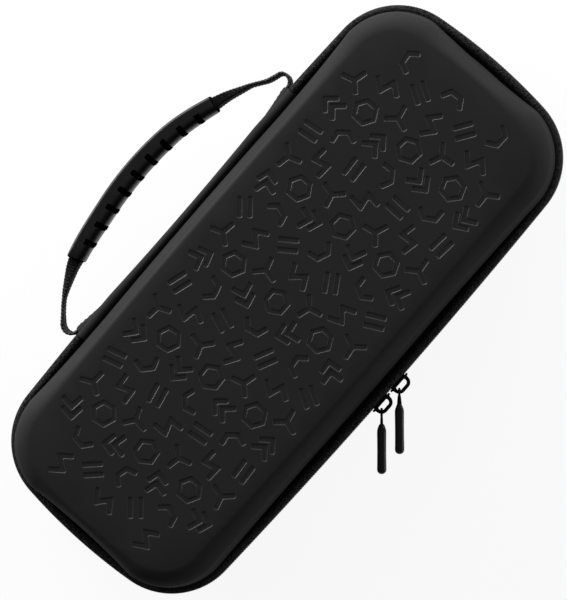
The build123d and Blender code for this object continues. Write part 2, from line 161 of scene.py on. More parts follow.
def ringed(name, rings, materials, sharp=40):
    """A piece skinned over rings, with a cap at both ends."""
    skin = Skin()
    skin.add_rings(rings, caps=True)
    return skin.piece(name, materials, sharp)


def distances(points, closed):
    """Running distance along points, with the way back to the first one if they are closed."""
    ends = list(points[1:]) + ([points[0]] if closed else [])
    total = [0.0]
    for near, far in zip(points, ends):
        total.append(total[-1] + (Vector(far) - Vector(near)).length)
    return total


def ring_length(ring):
    return distances(ring, True)[-1]


def smoothstep(value):
    value = min(1.0, max(0.0, value))
    return value * value * (3 - 2 * value)


def arc(centre, radius, start, end, steps):
    """Points on an arc in a plane, angles in degrees, ends included."""
    turns = [math.radians(start + (end - start) * n / steps) for n in range(steps + 1)]
    return [(centre[0] + radius * math.cos(t), centre[1] + radius * math.sin(t)) for t in turns]


def rounded_box(width, height, radius, steps=4):
    """Outline of a rectangle about the origin with round corners."""
    x = width / 2 - radius
    y = height / 2 - radius
    corners = [(x, -y, -90), (x, y, 0), (-x, y, 90), (-x, -y, 180)]
    return [point for cx, cy, turn in corners for point in arc((cx, cy), radius, turn, turn + 90, steps)]


def dress(piece, body, slot, *nodes):
    """Puts a finished piece on its body, in the place of the nodes that it stands for."""
    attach(piece, body)
    if nodes:
        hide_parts(*nodes)
    return piece


# The rim: bowed sides joined by round corners


def corner_centre():
    """Centre of the back right corner: an arc that touches a long and a short side from inside."""
    long_reach = LONG_SIDE_RADIUS - CORNER_RADIUS
    short_reach = SHORT_SIDE_RADIUS - CORNER_RADIUS
    span = math.hypot(SHORT_CENTRE, LONG_CENTRE)
    along = (long_reach**2 - short_reach**2 + span**2) / (2 * span)
    aside = math.sqrt(long_reach**2 - along**2)
    ux = SHORT_CENTRE / span
    uy = -LONG_CENTRE / span
    return ux * along + uy * aside, LONG_CENTRE + uy * along - ux * aside


CORNER_X, CORNER_Y = corner_centre()
LONG_END = math.atan2(CORNER_Y - LONG_CENTRE, CORNER_X)
SHORT_END = math.atan2(CORNER_Y, CORNER_X - SHORT_CENTRE)
SPINE_END = math.acos(SPINE_HALF / LONG_SIDE_RADIUS)
SPINE_END_GAP = 0.3 * MM


def rim_arcs():
    """The rim as arcs (centre x, centre y, radius, start, end, steps), anticlockwise from the right."""
    half = math.pi
    full = 2 * math.pi
    corner = (CORNER_RADIUS,)
    long = (LONG_SIDE_RADIUS,)
    short = (SHORT_SIDE_RADIUS,)
    return [
        (SHORT_CENTRE, 0) + short + (-SHORT_END, SHORT_END, SHORT_STEPS),
        (CORNER_X, CORNER_Y) + corner + (SHORT_END, LONG_END, CORNER_STEPS),
        (0, LONG_CENTRE) + long + (LONG_END, half - LONG_END, LONG_STEPS),
        (-CORNER_X, CORNER_Y) + corner + (half - LONG_END, half - SHORT_END, CORNER_STEPS),
        (-SHORT_CENTRE, 0) + short + (half - SHORT_END, half + SHORT_END, SHORT_STEPS),
        (-CORNER_X, -CORNER_Y) + corner + (half + SHORT_END, half + LONG_END, CORNER_STEPS),
        (0, -LONG_CENTRE) + long + (half + LONG_END, full - LONG_END, LONG_STEPS),
        (CORNER_X, -CORNER_Y) + corner + (full - LONG_END, full - SHORT_END, CORNER_STEPS),
    ]


def stations(arcs, with_end=False):
    """Places along arcs as (centre x, centre y, radius, angle)."""
    found = []
    for x, y, radius, start, end, steps in arcs:
        found += [(x, y, radius, start + (end - start) * n / steps) for n in range(steps)]
    if with_end:
        found.append((x, y, radius, end))
    return found


def zip_arcs():
    """The rim from the spine's left end round the front to its right end."""
    arcs = rim_arcs()
    x, y, radius, start, end, steps = arcs[2]
    gap = SPINE_END_GAP / LONG_SIDE_RADIUS
    left = (x, y, radius, math.pi - SPINE_END + gap, end, steps // 4)
    right = (x, y, radius, start, SPINE_END - gap, steps // 4)
    return [left] + arcs[3:] + arcs[:2] + [right]


def spine_arc():
    x, y, radius, start, end, steps = rim_arcs()[2]
    return [(x, y, radius, SPINE_END, math.pi - SPINE_END, steps)]


RIM = stations(rim_arcs())
ZIP_RUN = stations(zip_arcs(), with_end=True)
SPINE_RUN = stations(spine_arc(), with_end=True)


def at(station, outward, z):
    """Point at a distance outwards from the rim line."""
    x, y, radius, angle = station
    reach = radius + outward
    return Vector((x + reach * math.cos(angle), y + reach * math.sin(angle), z))


def loop(inset, z, run=None):
    return [at(station, -inset, z) for station in run or RIM]


def rim_inset(x, y):
    """How far a point lies inside the rim line."""
    insets = []
    for cx, cy, radius, start, end, steps in rim_arcs():
        angle = math.atan2(y - cy, x - cx)
        while angle < start:
            angle += 2 * math.pi
        if angle <= end:
            insets.append(radius - math.hypot(x - cx, y - cy))
    return min(insets)


# Finishes


PATCH_LOW = 0.36
PATCH_HIGH = 0.66
BLUE_CAST = 1.02


class Finish:
    """A procedural finish: a Principled shader and the nodes that feed it."""

    def __init__(self, name, **sockets):
        self.material = bpy.data.materials.new(name)
        self.material.use_nodes = True
        self.tree = self.material.node_tree
        self.shader = self.tree.nodes["Principled BSDF"]
        for socket, value in sockets.items():
            self.shader.inputs[socket.replace("_", " ")].default_value = value

    def add(self, kind, inputs, **settings):
        """Adds a node. Inputs are given by name or number, and may be other nodes' outputs."""
        node = self.tree.nodes.new(kind)
        for setting, value in settings.items():
            setattr(node, setting, value)
        for socket, value in inputs.items():
            self.feed(node.inputs[socket], value)
        return node.outputs

    def feed(self, socket, value):
        if isinstance(value, bpy.types.NodeSocket):
            self.tree.links.new(value, socket)
        else:
            socket.default_value = value

    def object_place(self):
        return self.add("ShaderNodeTexCoord", {})["Object"]

    def uv_place(self):
        return self.add("ShaderNodeTexCoord", {})["UV"]

    def math(self, operation, first, second=0.0):
        return self.add("ShaderNodeMath", {0: first, 1: second}, operation=operation)[0]

    def noise(self, place, size, detail=2.0):
        """Noise whose features are about a size across."""
        inputs = {"Vector": place, "Scale": 1 / size, "Detail": detail}
        return self.add("ShaderNodeTexNoise", inputs)["Fac"]

    def cells(self, place, size):
        inputs = {"Vector": place, "Scale": 1 / size}
        return self.add("ShaderNodeTexVoronoi", inputs, feature="SMOOTH_F1")["Distance"]

    def wave(self, distance, period):
        """Sine of a distance, from -1 to 1."""
        return self.math("SINE", self.math("MULTIPLY", distance, 2 * math.pi / period))

    def split(self, place):
        return self.add("ShaderNodeSeparateXYZ", {"Vector": place})

    def patches(self, noise):
        """Uneven patches from 0 to 1 out of a noise."""
        inputs = {"Value": noise, "From Min": PATCH_LOW, "From Max": PATCH_HIGH}
        return self.add("ShaderNodeMapRange", inputs)["Result"]

    def lifted(self, wave):
        """A wave from -1..1 as 0..0.5, flat over its upper half."""
        return self.between(self.math("ADD", wave, 1.0), 0.0, 0.5)

    def between(self, factor, low, high):
        """Maps a factor from 0..1 to low..high."""
        inputs = {"Value": factor, "To Min": low, "To Max": high}
        return self.add("ShaderNodeMapRange", inputs)["Result"]

    def tone(self, factor, dark, light):
        """Colours the surface from one grey to another by a factor from 0 to 1."""
        ramp = self.tree.nodes.new("ShaderNodeValToRGB")
        self.tree.links.new(factor, ramp.inputs["Fac"])
        for element, grey in zip(ramp.color_ramp.elements, (dark, light)):
            element.color = (grey, grey, grey * BLUE_CAST, 1)
        self.tree.links.new(ramp.outputs["Color"], self.shader.inputs["Base Color"])

    def rough(self, factor, low, high):
        self.feed(self.shader.inputs["Roughness"], self.between(factor, low, high))

    def relief(self, *layers):
        """Bump from layers of (height, depth in metres, strength)."""
        normal = None
        for height, depth, strength in layers:
            inputs = {"Height": height, "Distance": depth, "Strength": strength}
            if normal is not None:
                inputs["Normal"] = normal
            normal = self.add("ShaderNodeBump", inputs)["Normal"]
        self.feed(self.shader.inputs["Normal"], normal)

    def weave(self, place, warp, weft):
        """Plain weave from 0 to 0.5 on UV places, with thread widths along and across."""
        parts = self.split(place)
        along = self.wave(parts["X"], 2 * warp)
        across = self.wave(parts["Y"], 2 * weft)
        return self.lifted(self.math("MULTIPLY", along, across))


def coated_skin():
    """Thin matt coating over moulded foam, with a fine leather grain."""
    skin = Finish("coated_skin", Specular_IOR_Level=0.01)
    place = skin.object_place()
    cloud = skin.noise(place, 45 * MM, 3)
    grain = skin.cells(place, 0.55 * MM)
    skin.tone(cloud, 0.0135, 0.0165)
    skin.rough(skin.noise(place, 9 * MM, 3), 0.6, 0.7)
    skin.relief((grain, 0.03 * MM, 0.3), (skin.noise(place, 0.2 * MM), 0.01 * MM, 0.25))
    return skin.material


def pressed_skin():
    """The coating where the motifs' edges were pressed in hot, which left it smoother."""
    skin = Finish("pressed_skin", Specular_IOR_Level=0.2)
    place = skin.object_place()
    skin.tone(skin.noise(place, 45 * MM, 3), 0.0135, 0.0165)
    skin.rough(skin.noise(place, 6 * MM, 3), 0.26, 0.4)
    skin.relief((skin.noise(place, 0.4 * MM), 0.01 * MM, 0.2))
    return skin.material


def woven_tape():
    """Zip tape: twill with an uneven nap that catches little light."""
    tape = Finish("woven_tape", Specular_IOR_Level=0.06)
    threads = tape.weave(tape.uv_place(), 0.75 * MM, 0.75 * MM)
    nap = tape.noise(tape.object_place(), 1.0 * MM, 3)
    patchy = tape.patches(nap)
    tape.tone(tape.math("MULTIPLY", threads, patchy), 0.0006, 0.045)
    tape.rough(patchy, 0.95, 0.7)
    tape.relief((threads, 0.3 * MM, 0.9), (nap, 0.2 * MM, 0.6))
    return tape.material


def webbing_weave():
    """Strap webbing: a coarse speckled weave, with a painted highlight that lightens it towards its bends."""
    webbing = Finish("webbing_weave", Specular_IOR_Level=0.06)
    threads = webbing.weave(webbing.uv_place(), 0.9 * MM, 1.0 * MM)
    place = webbing.object_place()
    fuzz = webbing.noise(place, 1.0 * MM, 4)
    patchy = webbing.patches(fuzz)
    aside = webbing.math("ABSOLUTE", webbing.split(place)["X"])
    # Painted highlight: the weave's colour gets lighter away from the middle, towards the bends, in place of
    # light that catches them.
    bend_highlight_range = {"Value": aside, "From Min": 58 * MM, "From Max": 80 * MM, "To Min": 0.12, "To Max": 1.0}
    painted_bend_highlight = webbing.add("ShaderNodeMapRange", bend_highlight_range)["Result"]
    specks = webbing.math("MULTIPLY", webbing.math("MULTIPLY", threads, patchy), painted_bend_highlight)
    webbing.tone(specks, 0.0008, 0.13)
    webbing.rough(patchy, 0.95, 0.7)
    webbing.relief((threads, 0.4 * MM, 0.9), (fuzz, 0.2 * MM, 0.6))
    return webbing.material


def grip_rubber():
    """Moulded rubber with a fine stipple."""
    rubber = Finish("grip_rubber", Specular_IOR_Level=0.25)
    place = rubber.object_place()
    stipple = rubber.noise(place, 0.35 * MM, 3)
    rubber.tone(rubber.noise(place, 14 * MM, 3), 0.0016, 0.003)
    rubber.rough(rubber.noise(place, 4 * MM), 0.36, 0.48)
    rubber.relief((stipple, 0.03 * MM, 0.35))
    return rubber.material


def notch_shade_rubber():
    """Dull rubber left rough in the grip's notches, with a darker colour that is painted shade; it also
    covers the grip's rounded ends.
    """
    rubber = Finish("notch_shade_rubber", Specular_IOR_Level=0.0)
    place = rubber.object_place()
    stipple = rubber.noise(place, 0.5 * MM, 3)
    # Painted shade: darker greys than the grip's rubber, standing in for the shade in the notches and on the
    # grip's ends.
    rubber.tone(stipple, 0.0008, 0.0024)
    rubber.rough(stipple, 0.85, 1.0)
    rubber.relief((stipple, 0.05 * MM, 0.5))
    return rubber.material


def pull_rubber():
    """Soft moulded plastic of the pull tabs."""
    rubber = Finish("pull_rubber", Specular_IOR_Level=0.2)
    place = rubber.object_place()
    rubber.tone(rubber.noise(place, 5 * MM, 3), 0.004, 0.008)
    rubber.rough(rubber.noise(place, 2 * MM), 0.34, 0.46)
    rubber.relief((rubber.noise(place, 0.3 * MM, 3), 0.02 * MM, 0.3))
    return rubber.material


def coil_nylon():
    """Nylon of the zip's coil, smooth and a little glossy."""
    nylon = Finish("coil_nylon", Specular_IOR_Level=0.5)
    place = nylon.object_place()
    nylon.tone(nylon.noise(place, 3 * MM, 2), 0.005, 0.011)
    nylon.rough(nylon.noise(place, 1 * MM), 0.28, 0.42)
    nylon.relief((nylon.noise(place, 0.25 * MM), 0.015 * MM, 0.3))
    return nylon.material


def black_enamel():
    """Matt enamel on a die-casting, with faint rubbed patches."""
    enamel = Finish("black_enamel", Specular_IOR_Level=0.02)
    place = enamel.object_place()
    rubbed = enamel.noise(place, 1.6 * MM, 4)
    enamel.tone(rubbed, 0.0015, 0.005)
    enamel.rough(rubbed, 0.7, 0.9)
    enamel.relief((enamel.noise(place, 0.4 * MM, 3), 0.02 * MM, 0.3))
    return enamel.material


def braided_cord():
    """Round braid: threads that cross on the slant."""
    cord = Finish("braided_cord", Specular_IOR_Level=0.02)
    parts = cord.split(cord.uv_place())
    rise = cord.math("ADD", parts["X"], parts["Y"])
    fall = cord.math("SUBTRACT", parts["X"], parts["Y"])
    crossing = cord.math("MULTIPLY", cord.wave(rise, 0.8 * MM), cord.wave(fall, 0.8 * MM))
    threads = cord.lifted(crossing)
    cord.tone(threads, 0.001, 0.008)
    cord.rough(threads, 0.75, 0.5)
    cord.relief((threads, 0.1 * MM, 0.8))
    return cord.material


def knit_lining():
    """Brushed knit over the foam inside."""
    knit = Finish("knit_lining", Specular_IOR_Level=0.2, Sheen_Weight=0.25, Sheen_Roughness=0.5)
    place = knit.object_place()
    loops = knit.cells(place, 0.8 * MM)
    nap = knit.noise(place, 1.5 * MM, 5)
    knit.tone(knit.math("MULTIPLY", loops, nap), 0.009, 0.03)
    knit.rough(nap, 0.75, 0.95)
    knit.relief((loops, 0.2 * MM, 0.6), (nap, 0.15 * MM, 0.5))
    return knit.material


def ribbed_tape(name, rib, dark, light):
    """Narrow woven tape with ribs across its length."""
    tape = Finish(name, Specular_IOR_Level=0.25, Sheen_Weight=0.15)
    ribs = tape.lifted(tape.wave(tape.split(tape.uv_place())["X"], rib))
    fuzz = tape.noise(tape.object_place(), 0.6 * MM, 4)
    tape.tone(tape.math("MULTIPLY", ribs, fuzz), dark, light)
    tape.rough(fuzz, 0.6, 0.85)
    tape.relief((ribs, 0.2 * MM, 0.8), (fuzz, 0.06 * MM, 0.4))
    return tape.material


def thread_twist(name, dark, light):
    """Sewing or net thread with a visible twist."""
    thread = Finish(name, Specular_IOR_Level=0.35, Sheen_Weight=0.1)
    place = thread.object_place()
    strands = thread.noise(place, 0.35 * MM, 2)
    thread.tone(strands, dark, light)
    thread.rough(strands, 0.5, 0.75)
    thread.relief((strands, 0.06 * MM, 0.6))
    return thread.material


SKIN = coated_skin()
PRESSED = pressed_skin()
TAPE = woven_tape()
WEBBING = webbing_weave()
GRIP = grip_rubber()
NOTCH = notch_shade_rubber()
PULL = pull_rubber()
NYLON = coil_nylon()
ENAMEL = black_enamel()
BRAID = braided_cord()
LINING = knit_lining()
BINDING = ribbed_tape("binding_tape", 0.9 * MM, 0.005, 0.022)
ELASTIC = ribbed_tape("pocket_elastic", 1.3 * MM, 0.006, 0.026)
NET_THREAD = thread_twist("net_thread", 0.008, 0.024)
SEWING_THREAD = thread_twist("sewing_thread", 0.008, 0.026)


# Geometry nodes: units repeated along a path, and thread along the edges of a mesh


def new_tree(name, sockets):
    """A geometry tree with a geometry in and out and named inputs, and its first two nodes."""
    tree = bpy.data.node_groups.new(name, "GeometryNodeTree")
    tree.interface.new_socket("Geometry", in_out="INPUT", socket_type="NodeSocketGeometry")
    for socket, kind in sockets:
        tree.interface.new_socket(socket, in_out="INPUT", socket_type=kind)
    tree.interface.new_socket("Geometry", in_out="OUTPUT", socket_type="NodeSocketGeometry")
    return tree, tree.nodes.new("NodeGroupInput").outputs, tree.nodes.new("NodeGroupOutput").inputs


def units_along_tree():
    """Copies of a unit at a spacing along a path: x along the path, z towards a given side."""
    sockets = [
        ("Unit", "NodeSocketObject"),
        ("Spacing", "NodeSocketFloat"),
        ("Up", "NodeSocketVector"),
        ("Finish", "NodeSocketMaterial"),
    ]
    tree, given, made = new_tree("units_along_path", sockets)
    nodes = tree.nodes
    link = tree.links.new
    line = nodes.new("GeometryNodeMeshToCurve")
    spots = nodes.new("GeometryNodeCurveToPoints")
    spots.mode = "LENGTH"
    unit = nodes.new("GeometryNodeObjectInfo")
    turn = nodes.new("FunctionNodeAxesToRotation")
    turn.primary_axis = "X"
    turn.secondary_axis = "Z"
    copies = nodes.new("GeometryNodeInstanceOnPoints")
    whole = nodes.new("GeometryNodeRealizeInstances")
    finish = nodes.new("GeometryNodeSetMaterial")
    link(given["Geometry"], line.inputs["Mesh"])
    link(line.outputs["Curve"], spots.inputs["Curve"])
    link(given["Spacing"], spots.inputs["Length"])
    link(given["Unit"], unit.inputs["Object"])
    link(spots.outputs["Tangent"], turn.inputs["Primary Axis"])
    link(given["Up"], turn.inputs["Secondary Axis"])
    link(spots.outputs["Points"], copies.inputs["Points"])
    link(unit.outputs["Geometry"], copies.inputs["Instance"])
    link(turn.outputs["Rotation"], copies.inputs["Rotation"])
    link(copies.outputs["Instances"], whole.inputs["Geometry"])
    link(whole.outputs["Geometry"], finish.inputs["Geometry"])
    link(given["Finish"], finish.inputs["Material"])
    link(finish.outputs["Geometry"], made["Geometry"])
    return tree


def threads_tree():
    """Round thread along every edge of a mesh."""
    sockets = [("Thread Radius", "NodeSocketFloat"), ("Finish", "NodeSocketMaterial")]
    tree, given, made = new_tree("thread_on_edges", sockets)
    nodes = tree.nodes
    link = tree.links.new
    line = nodes.new("GeometryNodeMeshToCurve")
    section = nodes.new("GeometryNodeCurvePrimitiveCircle")
    section.inputs["Resolution"].default_value = 4
    tube = nodes.new("GeometryNodeCurveToMesh")
    tube.inputs["Fill Caps"].default_value = True
    whole = nodes.new("GeometryNodeRealizeInstances")
    finish = nodes.new("GeometryNodeSetMaterial")
    link(given["Geometry"], line.inputs["Mesh"])
    link(given["Thread Radius"], section.inputs["Radius"])
    link(line.outputs["Curve"], tube.inputs["Curve"])
    link(section.outputs["Curve"], tube.inputs["Profile Curve"])
    link(tube.outputs["Mesh"], whole.inputs["Geometry"])
    link(whole.outputs["Geometry"], finish.inputs["Geometry"])
    link(given["Finish"], finish.inputs["Material"])
    link(finish.outputs["Geometry"], made["Geometry"])
    return tree


UNITS_ALONG = units_along_tree()
THREADS = threads_tree()


def grow(name, data, tree, values):
    """Runs a tree on a mesh and keeps the result as a plain mesh."""
    source = show(name + "_lines", data)
    modifier = source.modifiers.new("grow", "NODES")
    modifier.node_group = tree
    for socket in tree.interface.items_tree:
        if socket.in_out == "INPUT" and socket.name in values:
            modifier[socket.identifier] = values[socket.name]
    graph = bpy.context.evaluated_depsgraph_get()
    grown = bpy.data.meshes.new_from_object(source.evaluated_get(graph))
    bpy.data.objects.remove(source)
    grown.name = name
    for face in grown.polygons:
        face.use_smooth = True
    return show(name, grown)


def line_mesh(name, points, closed=False):
    count = len(points)
    edges = [(n, (n + 1) % count) for n in range(count if closed else count - 1)]
    data = bpy.data.meshes.new(name)
    data.from_pydata(points, edges, [])
    return data


def units_along(name, points, closed, unit, spacing, up, finish):
    values = {"Unit": unit, "Spacing": spacing, "Up": up, "Finish": finish}
    return grow(name, line_mesh(name, points, closed), UNITS_ALONG, values)


# Lid: moulded shell with sunk motifs

MOTIF_DEPTH = 0.26 * MM
MOTIF_STROKE = 2.6 * MM
MOTIF_REACH = 7.0 * MM
MOTIF_PITCH_X = 16.4 * MM
MOTIF_PITCH_Y = 14.2 * MM
MOTIF_EDGE = 0.8 * MM
ZIGZAG_STEP = 4.4 * MM
ZIGZAG_RISE = 3.0 * MM
BAR_LENGTH = 10.6 * MM
CHEVRON_ANGLE = 90
MOTIF_CORNER = 0.8 * MM
MOTIF_MIN_CORNER = 0.08 * MM
MOTIF_CORNER_STEPS = 4
# Groove wall from the flat down to its floor: distance outwards from the outline, and height
GROOVE = [
    (0.45 * MM, 0.0),
    (0.20 * MM, 0.0),
    (0.08 * MM, -0.04 * MM),
    (-0.10 * MM, -0.20 * MM),
    (-0.26 * MM, -MOTIF_DEPTH),
    (-0.75 * MM, -MOTIF_DEPTH),
]
SHOULDER_STEPS = 14
FLAT_INSET = WALL_INSET + SHOULDER_RADIUS
FLAT_OVERLAP = 1.4 * MM
PRESSED_FINISH = 2


def turned(point, angle):
    c = math.cos(angle)
    s = math.sin(angle)
    return point[0] * c - point[1] * s, point[0] * s + point[1] * c


def polygon(radius, count):
    return [turned((radius, 0), 2 * math.pi * n / count) for n in range(count)]


def stroke(points):
    """Outline of a strip of the stroke's width along straight runs, mitred at their corners."""
    path = [Vector(point) for point in points]
    sides = [(far - near).normalized().orthogonal() for near, far in zip(path, path[1:])]
    left = []
    right = []
    for point, before, after in zip(path, sides[:1] + sides, sides + sides[-1:]):
        mitre = (before + after) * (MOTIF_STROKE / 2 / (1 + before.dot(after)))
        left.append(point + mitre)
        right.append(point - mitre)
    return [tuple(point) for point in right + left[::-1]]


def shifted(outline, rise):
    return [(x, y + rise) for x, y in outline]


def hexagon_ring():
    return [(polygon(MOTIF_REACH, 6), 1), (polygon(MOTIF_REACH - MOTIF_STROKE, 6), -1)]


def nested_chevrons():
    half = math.radians(CHEVRON_ANGLE / 2)
    wide = MOTIF_REACH * math.sin(half)
    rise = MOTIF_REACH * math.cos(half) / 2
    chevron = stroke([(-wide, -rise), (0, rise), (wide, -rise)])
    return [(shifted(chevron, MOTIF_STROKE), 1), (shifted(chevron, -MOTIF_STROKE), 1)]


def zigzag():
    return [(stroke([((n - 1.5) * ZIGZAG_STEP, ZIGZAG_RISE * (-1) ** n) for n in range(4)]), 1)]


def three_spokes():
    half = MOTIF_STROKE / 2
    crotch = half / math.sin(math.radians(60))
    arm = [(half, MOTIF_REACH), (-half, MOTIF_REACH), turned((0, crotch), math.radians(60))]
    return [([turned(point, math.radians(120 * n)) for n in range(3) for point in arm], 1)]


def half_hexagon():
    ring = MOTIF_REACH - MOTIF_STROKE / 2
    middle = ring * math.sin(math.radians(60)) / 2
    return [(stroke(shifted(polygon(ring, 6)[:4], -middle)), 1)]


def bar_pair():
    bar = stroke([(-BAR_LENGTH / 2, 0), (BAR_LENGTH / 2, 0)])
    return [(shifted(bar, MOTIF_STROKE), 1), (shifted(bar, -MOTIF_STROKE), 1)]


def motif_places():
    """Staggered rows of (x, y, turn, kind) that keep whole motifs on the flat of the lid."""
    flat_inset = FLAT_INSET + MOTIF_REACH + MOTIF_EDGE
    columns = int(HALF_LENGTH / MOTIF_PITCH_X)
    rows = int(HALF_WIDTH / MOTIF_PITCH_Y)
    places = []
    for row in range(-rows, rows + 1):
        for column in range(-columns, columns + 1):
            x = (column + 0.5 * (row % 2)) * MOTIF_PITCH_X
            y = row * MOTIF_PITCH_Y
            if rim_inset(x, y) >= flat_inset:
                turn = math.radians(37 * (7 * column + 11 * row) % 360)
                places.append((x, y, turn, (2 * column + 3 * row) % 6))
    return places


def rounded_outline(corners, outward):
    """Outline moved outwards from its corners' own one, with its corners rounded."""
    count = len(corners)
    points = []
    for n in range(count):
        corner = Vector(corners[n])
        came = (corner - Vector(corners[n - 1])).normalized()
        goes = (Vector(corners[(n + 1) % count]) - corner).normalized()
        out = Vector((came.y, -came.x))
        mitre = (out + Vector((goes.y, -goes.x))) / (1 + came.dot(goes))
        bend = math.atan2(came.x * goes.y - came.y * goes.x, came.dot(goes))
        side = 1 if bend > 0 else -1
        radius = max(MOTIF_CORNER + side * outward, MOTIF_MIN_CORNER)
        start = corner + mitre * outward - came * (radius * math.tan(abs(bend) / 2))
        centre = start - out * (side * radius)
        for k in range(MOTIF_CORNER_STEPS + 1):
            arm = turned(start - centre, bend * k / MOTIF_CORNER_STEPS)
            points.append((centre.x + arm[0], centre.y + arm[1]))
    return points


def shoulder_drop(x, y):
    """Height of the lid's skin at a place, down from its flat."""
    over = max(0.0, FLAT_INSET - rim_inset(x, y))
    return math.sqrt(SHOULDER_RADIUS**2 - over**2) - SHOULDER_RADIUS


def lid_flat(skin, edge):
    """Skins the flat of the lid inside its edge ring, with the motifs' grooves sunk into it."""
    kinds = [hexagon_ring(), nested_chevrons(), zigzag(), three_spokes(), half_hexagon(), bar_pair()]
    flat = [(point.x, point.y) for point in edge]
    heights = [point.z for point in edge]
    depths = [0.0] * len(edge)
    lines = [(n, (n + 1) % len(edge)) for n in range(len(edge))]
    for x, y, turn, kind in motif_places():
        for corners, side in kinds[kind]:
            for outward, height in GROOVE:
                ring = rounded_outline(corners, side * outward)
                first = len(flat)
                for point in ring:
                    px, py = turned(point, turn)
                    flat.append((x + px, y + py))
                    heights.append(LID_TOP + height + shoulder_drop(x + px, y + py))
                    depths.append(height)
                lines += [(first + n, first + (n + 1) % len(ring)) for n in range(len(ring))]
    plane = [Vector((px / MM, py / MM)) for px, py in flat]
    points, edges, faces, origins, _, _ = delaunay_2d_cdt(plane, lines, [], 0, 1e-5)
    first = len(skin.points)
    for point, origin in zip(points, origins):
        skin.points.append(Vector((point.x * MM, point.y * MM, heights[origin[0]])))
    for face in faces:
        sloped = len({depths[origins[corner][0]] for corner in face}) > 1
        skin.add_face([first + corner for corner in face], None, PRESSED_FINISH if sloped else 0)
    return [first + n for n in range(len(edge))]


SHELL_EDGE = 0.5 * MM
CAVITY_STEPS = 8
BACK_POWER = 4
SIDE_POWER = 2
FRONT_DRAW = 3.0 * MM
BACK_DRAW = 5.0 * MM
END_DRAW = 3.4 * MM
CORNER_BULGE = 2.6 * MM
DRAW_START = 6.0 * MM
BULGE_FULL = 8.0 * MM
DRAW_FULL = 25.0 * MM
WALL_STOPS = [20.0 * MM, 14.0 * MM, 10.0 * MM, 8.0 * MM, 7.0 * MM, 6.0 * MM]


def corner_share(station):
    """How near a place on the rim is to a corner: 0 in the middle of a side, 1 on the corners."""
    x, y, radius, angle = station
    if radius == LONG_SIDE_RADIUS:
        power = BACK_POWER if math.sin(angle) > 0 else SIDE_POWER
        return (math.cos(angle) / math.cos(LONG_END)) ** power
    if radius == SHORT_SIDE_RADIUS:
        return (math.sin(angle) / math.sin(SHORT_END)) ** SIDE_POWER
    return 1.0


def between_0_and_1(value):
    return min(1.0, max(0.0, value))


def side_draw(station):
    """How far the wall is drawn in at the middle of its side."""
    x, y, radius, angle = station
    if radius == SHORT_SIDE_RADIUS:
        return END_DRAW
    return BACK_DRAW if math.sin(angle) > 0 else FRONT_DRAW


def wall_draw(station, rise):
    """How far the soft wall is drawn in at a height from the zip: sides sink, corners bulge over the tape."""
    share = corner_share(station)
    sink = side_draw(station) * between_0_and_1((rise - DRAW_START) / (DRAW_FULL - DRAW_START))
    swell = between_0_and_1((rise - DRAW_START) / (BULGE_FULL - DRAW_START))
    swell *= between_0_and_1((DRAW_FULL - rise) / (DRAW_FULL - BULGE_FULL))
    return sink * (1 - share) - CORNER_BULGE * swell * share


def shell_loop(section, flat, up):
    """Ring of a shell for a section's (inset, distance from the flat, share of the draw)."""
    inset, drop, share = section
    rise = abs(flat - ZIP) - drop
    return [at(station, -inset - share * wall_draw(station, rise), flat - up * drop) for station in RIM]


def shoulder(over_flat):
    """Section of a shell's rounded shoulder, from the flat's edge to the wall."""
    start = math.degrees(math.asin(over_flat / SHOULDER_RADIUS))
    turns = [math.radians(start + (90 - start) * n / SHOULDER_STEPS) for n in range(SHOULDER_STEPS + 1)]
    reach = SHOULDER_RADIUS - FLAT_OVERLAP
    section = []
    for t in turns:
        inwards = SHOULDER_RADIUS * (1 - math.sin(t))
        drop = SHOULDER_RADIUS * (1 - math.cos(t))
        section.append((WALL_INSET + inwards, drop, 1 - smoothstep(inwards / reach)))
    return section


def shell_sections(height, over_flat):
    """Outer, edge and inner sections of a shell as (inset, distance from its flat, share of the draw)."""
    depth = LID_TOP - ZIP
    wall = [(WALL_INSET, depth - rise, 1.0) for rise in WALL_STOPS]
    outer = shoulder(over_flat) + wall + [(WALL_INSET, height - SHELL_EDGE, 1.0)]
    edge = [(WALL_INSET + SHELL_EDGE, height, 1.0), (CAVITY_INSET - SHELL_EDGE, height, 1.0)]
    bend = SHOULDER_RADIUS - WALL
    inner = [(CAVITY_INSET, height - SHELL_EDGE, 1.0), (CAVITY_INSET, WALL + bend, 1.0)]
    for n in range(1, CAVITY_STEPS + 1):
        t = math.radians(90 * n / CAVITY_STEPS)
        inwards = bend * (1 - math.cos(t))
        drop = WALL + bend * (1 - math.sin(t))
        inner.append((CAVITY_INSET + inwards, drop, 1 - smoothstep(inwards / bend)))
    return outer, edge, inner


def join_rings(skin, first, second, finish=0):
    """Quads between two rings of point numbers."""
    count = len(first)
    for n in range(count):
        k = (n + 1) % count
        skin.add_face((first[n], first[k], second[k], second[n]), None, finish)


def close_shell(skin, last, outer, edge, inner, flat, up):
    """Skins a shell from the ring round its flat down the wall and up inside to the lined ceiling."""
    sections = [(part, 0) for part in outer[1:] + edge] + [(part, 1) for part in inner]
    for section, finish in sections:
        first = skin.add_points(shell_loop(section, flat, up))
        ring = list(range(first, first + len(RIM)))
        join_rings(skin, last, ring, finish)
        last = ring
    skin.add_face(last, None, 1)


def lid_shell():
    skin = Skin()
    outer, edge, inner = shell_sections(LID_TOP - LID_LOW.z, FLAT_OVERLAP)
    last = lid_flat(skin, shell_loop(outer[0], LID_TOP, 1))
    close_shell(skin, last, outer, edge, inner, LID_TOP, 1)
    return dress(skin.piece("lid_shell_skin", [SKIN, LINING, PRESSED]), "lid", "shell_skin", "lid_shell")


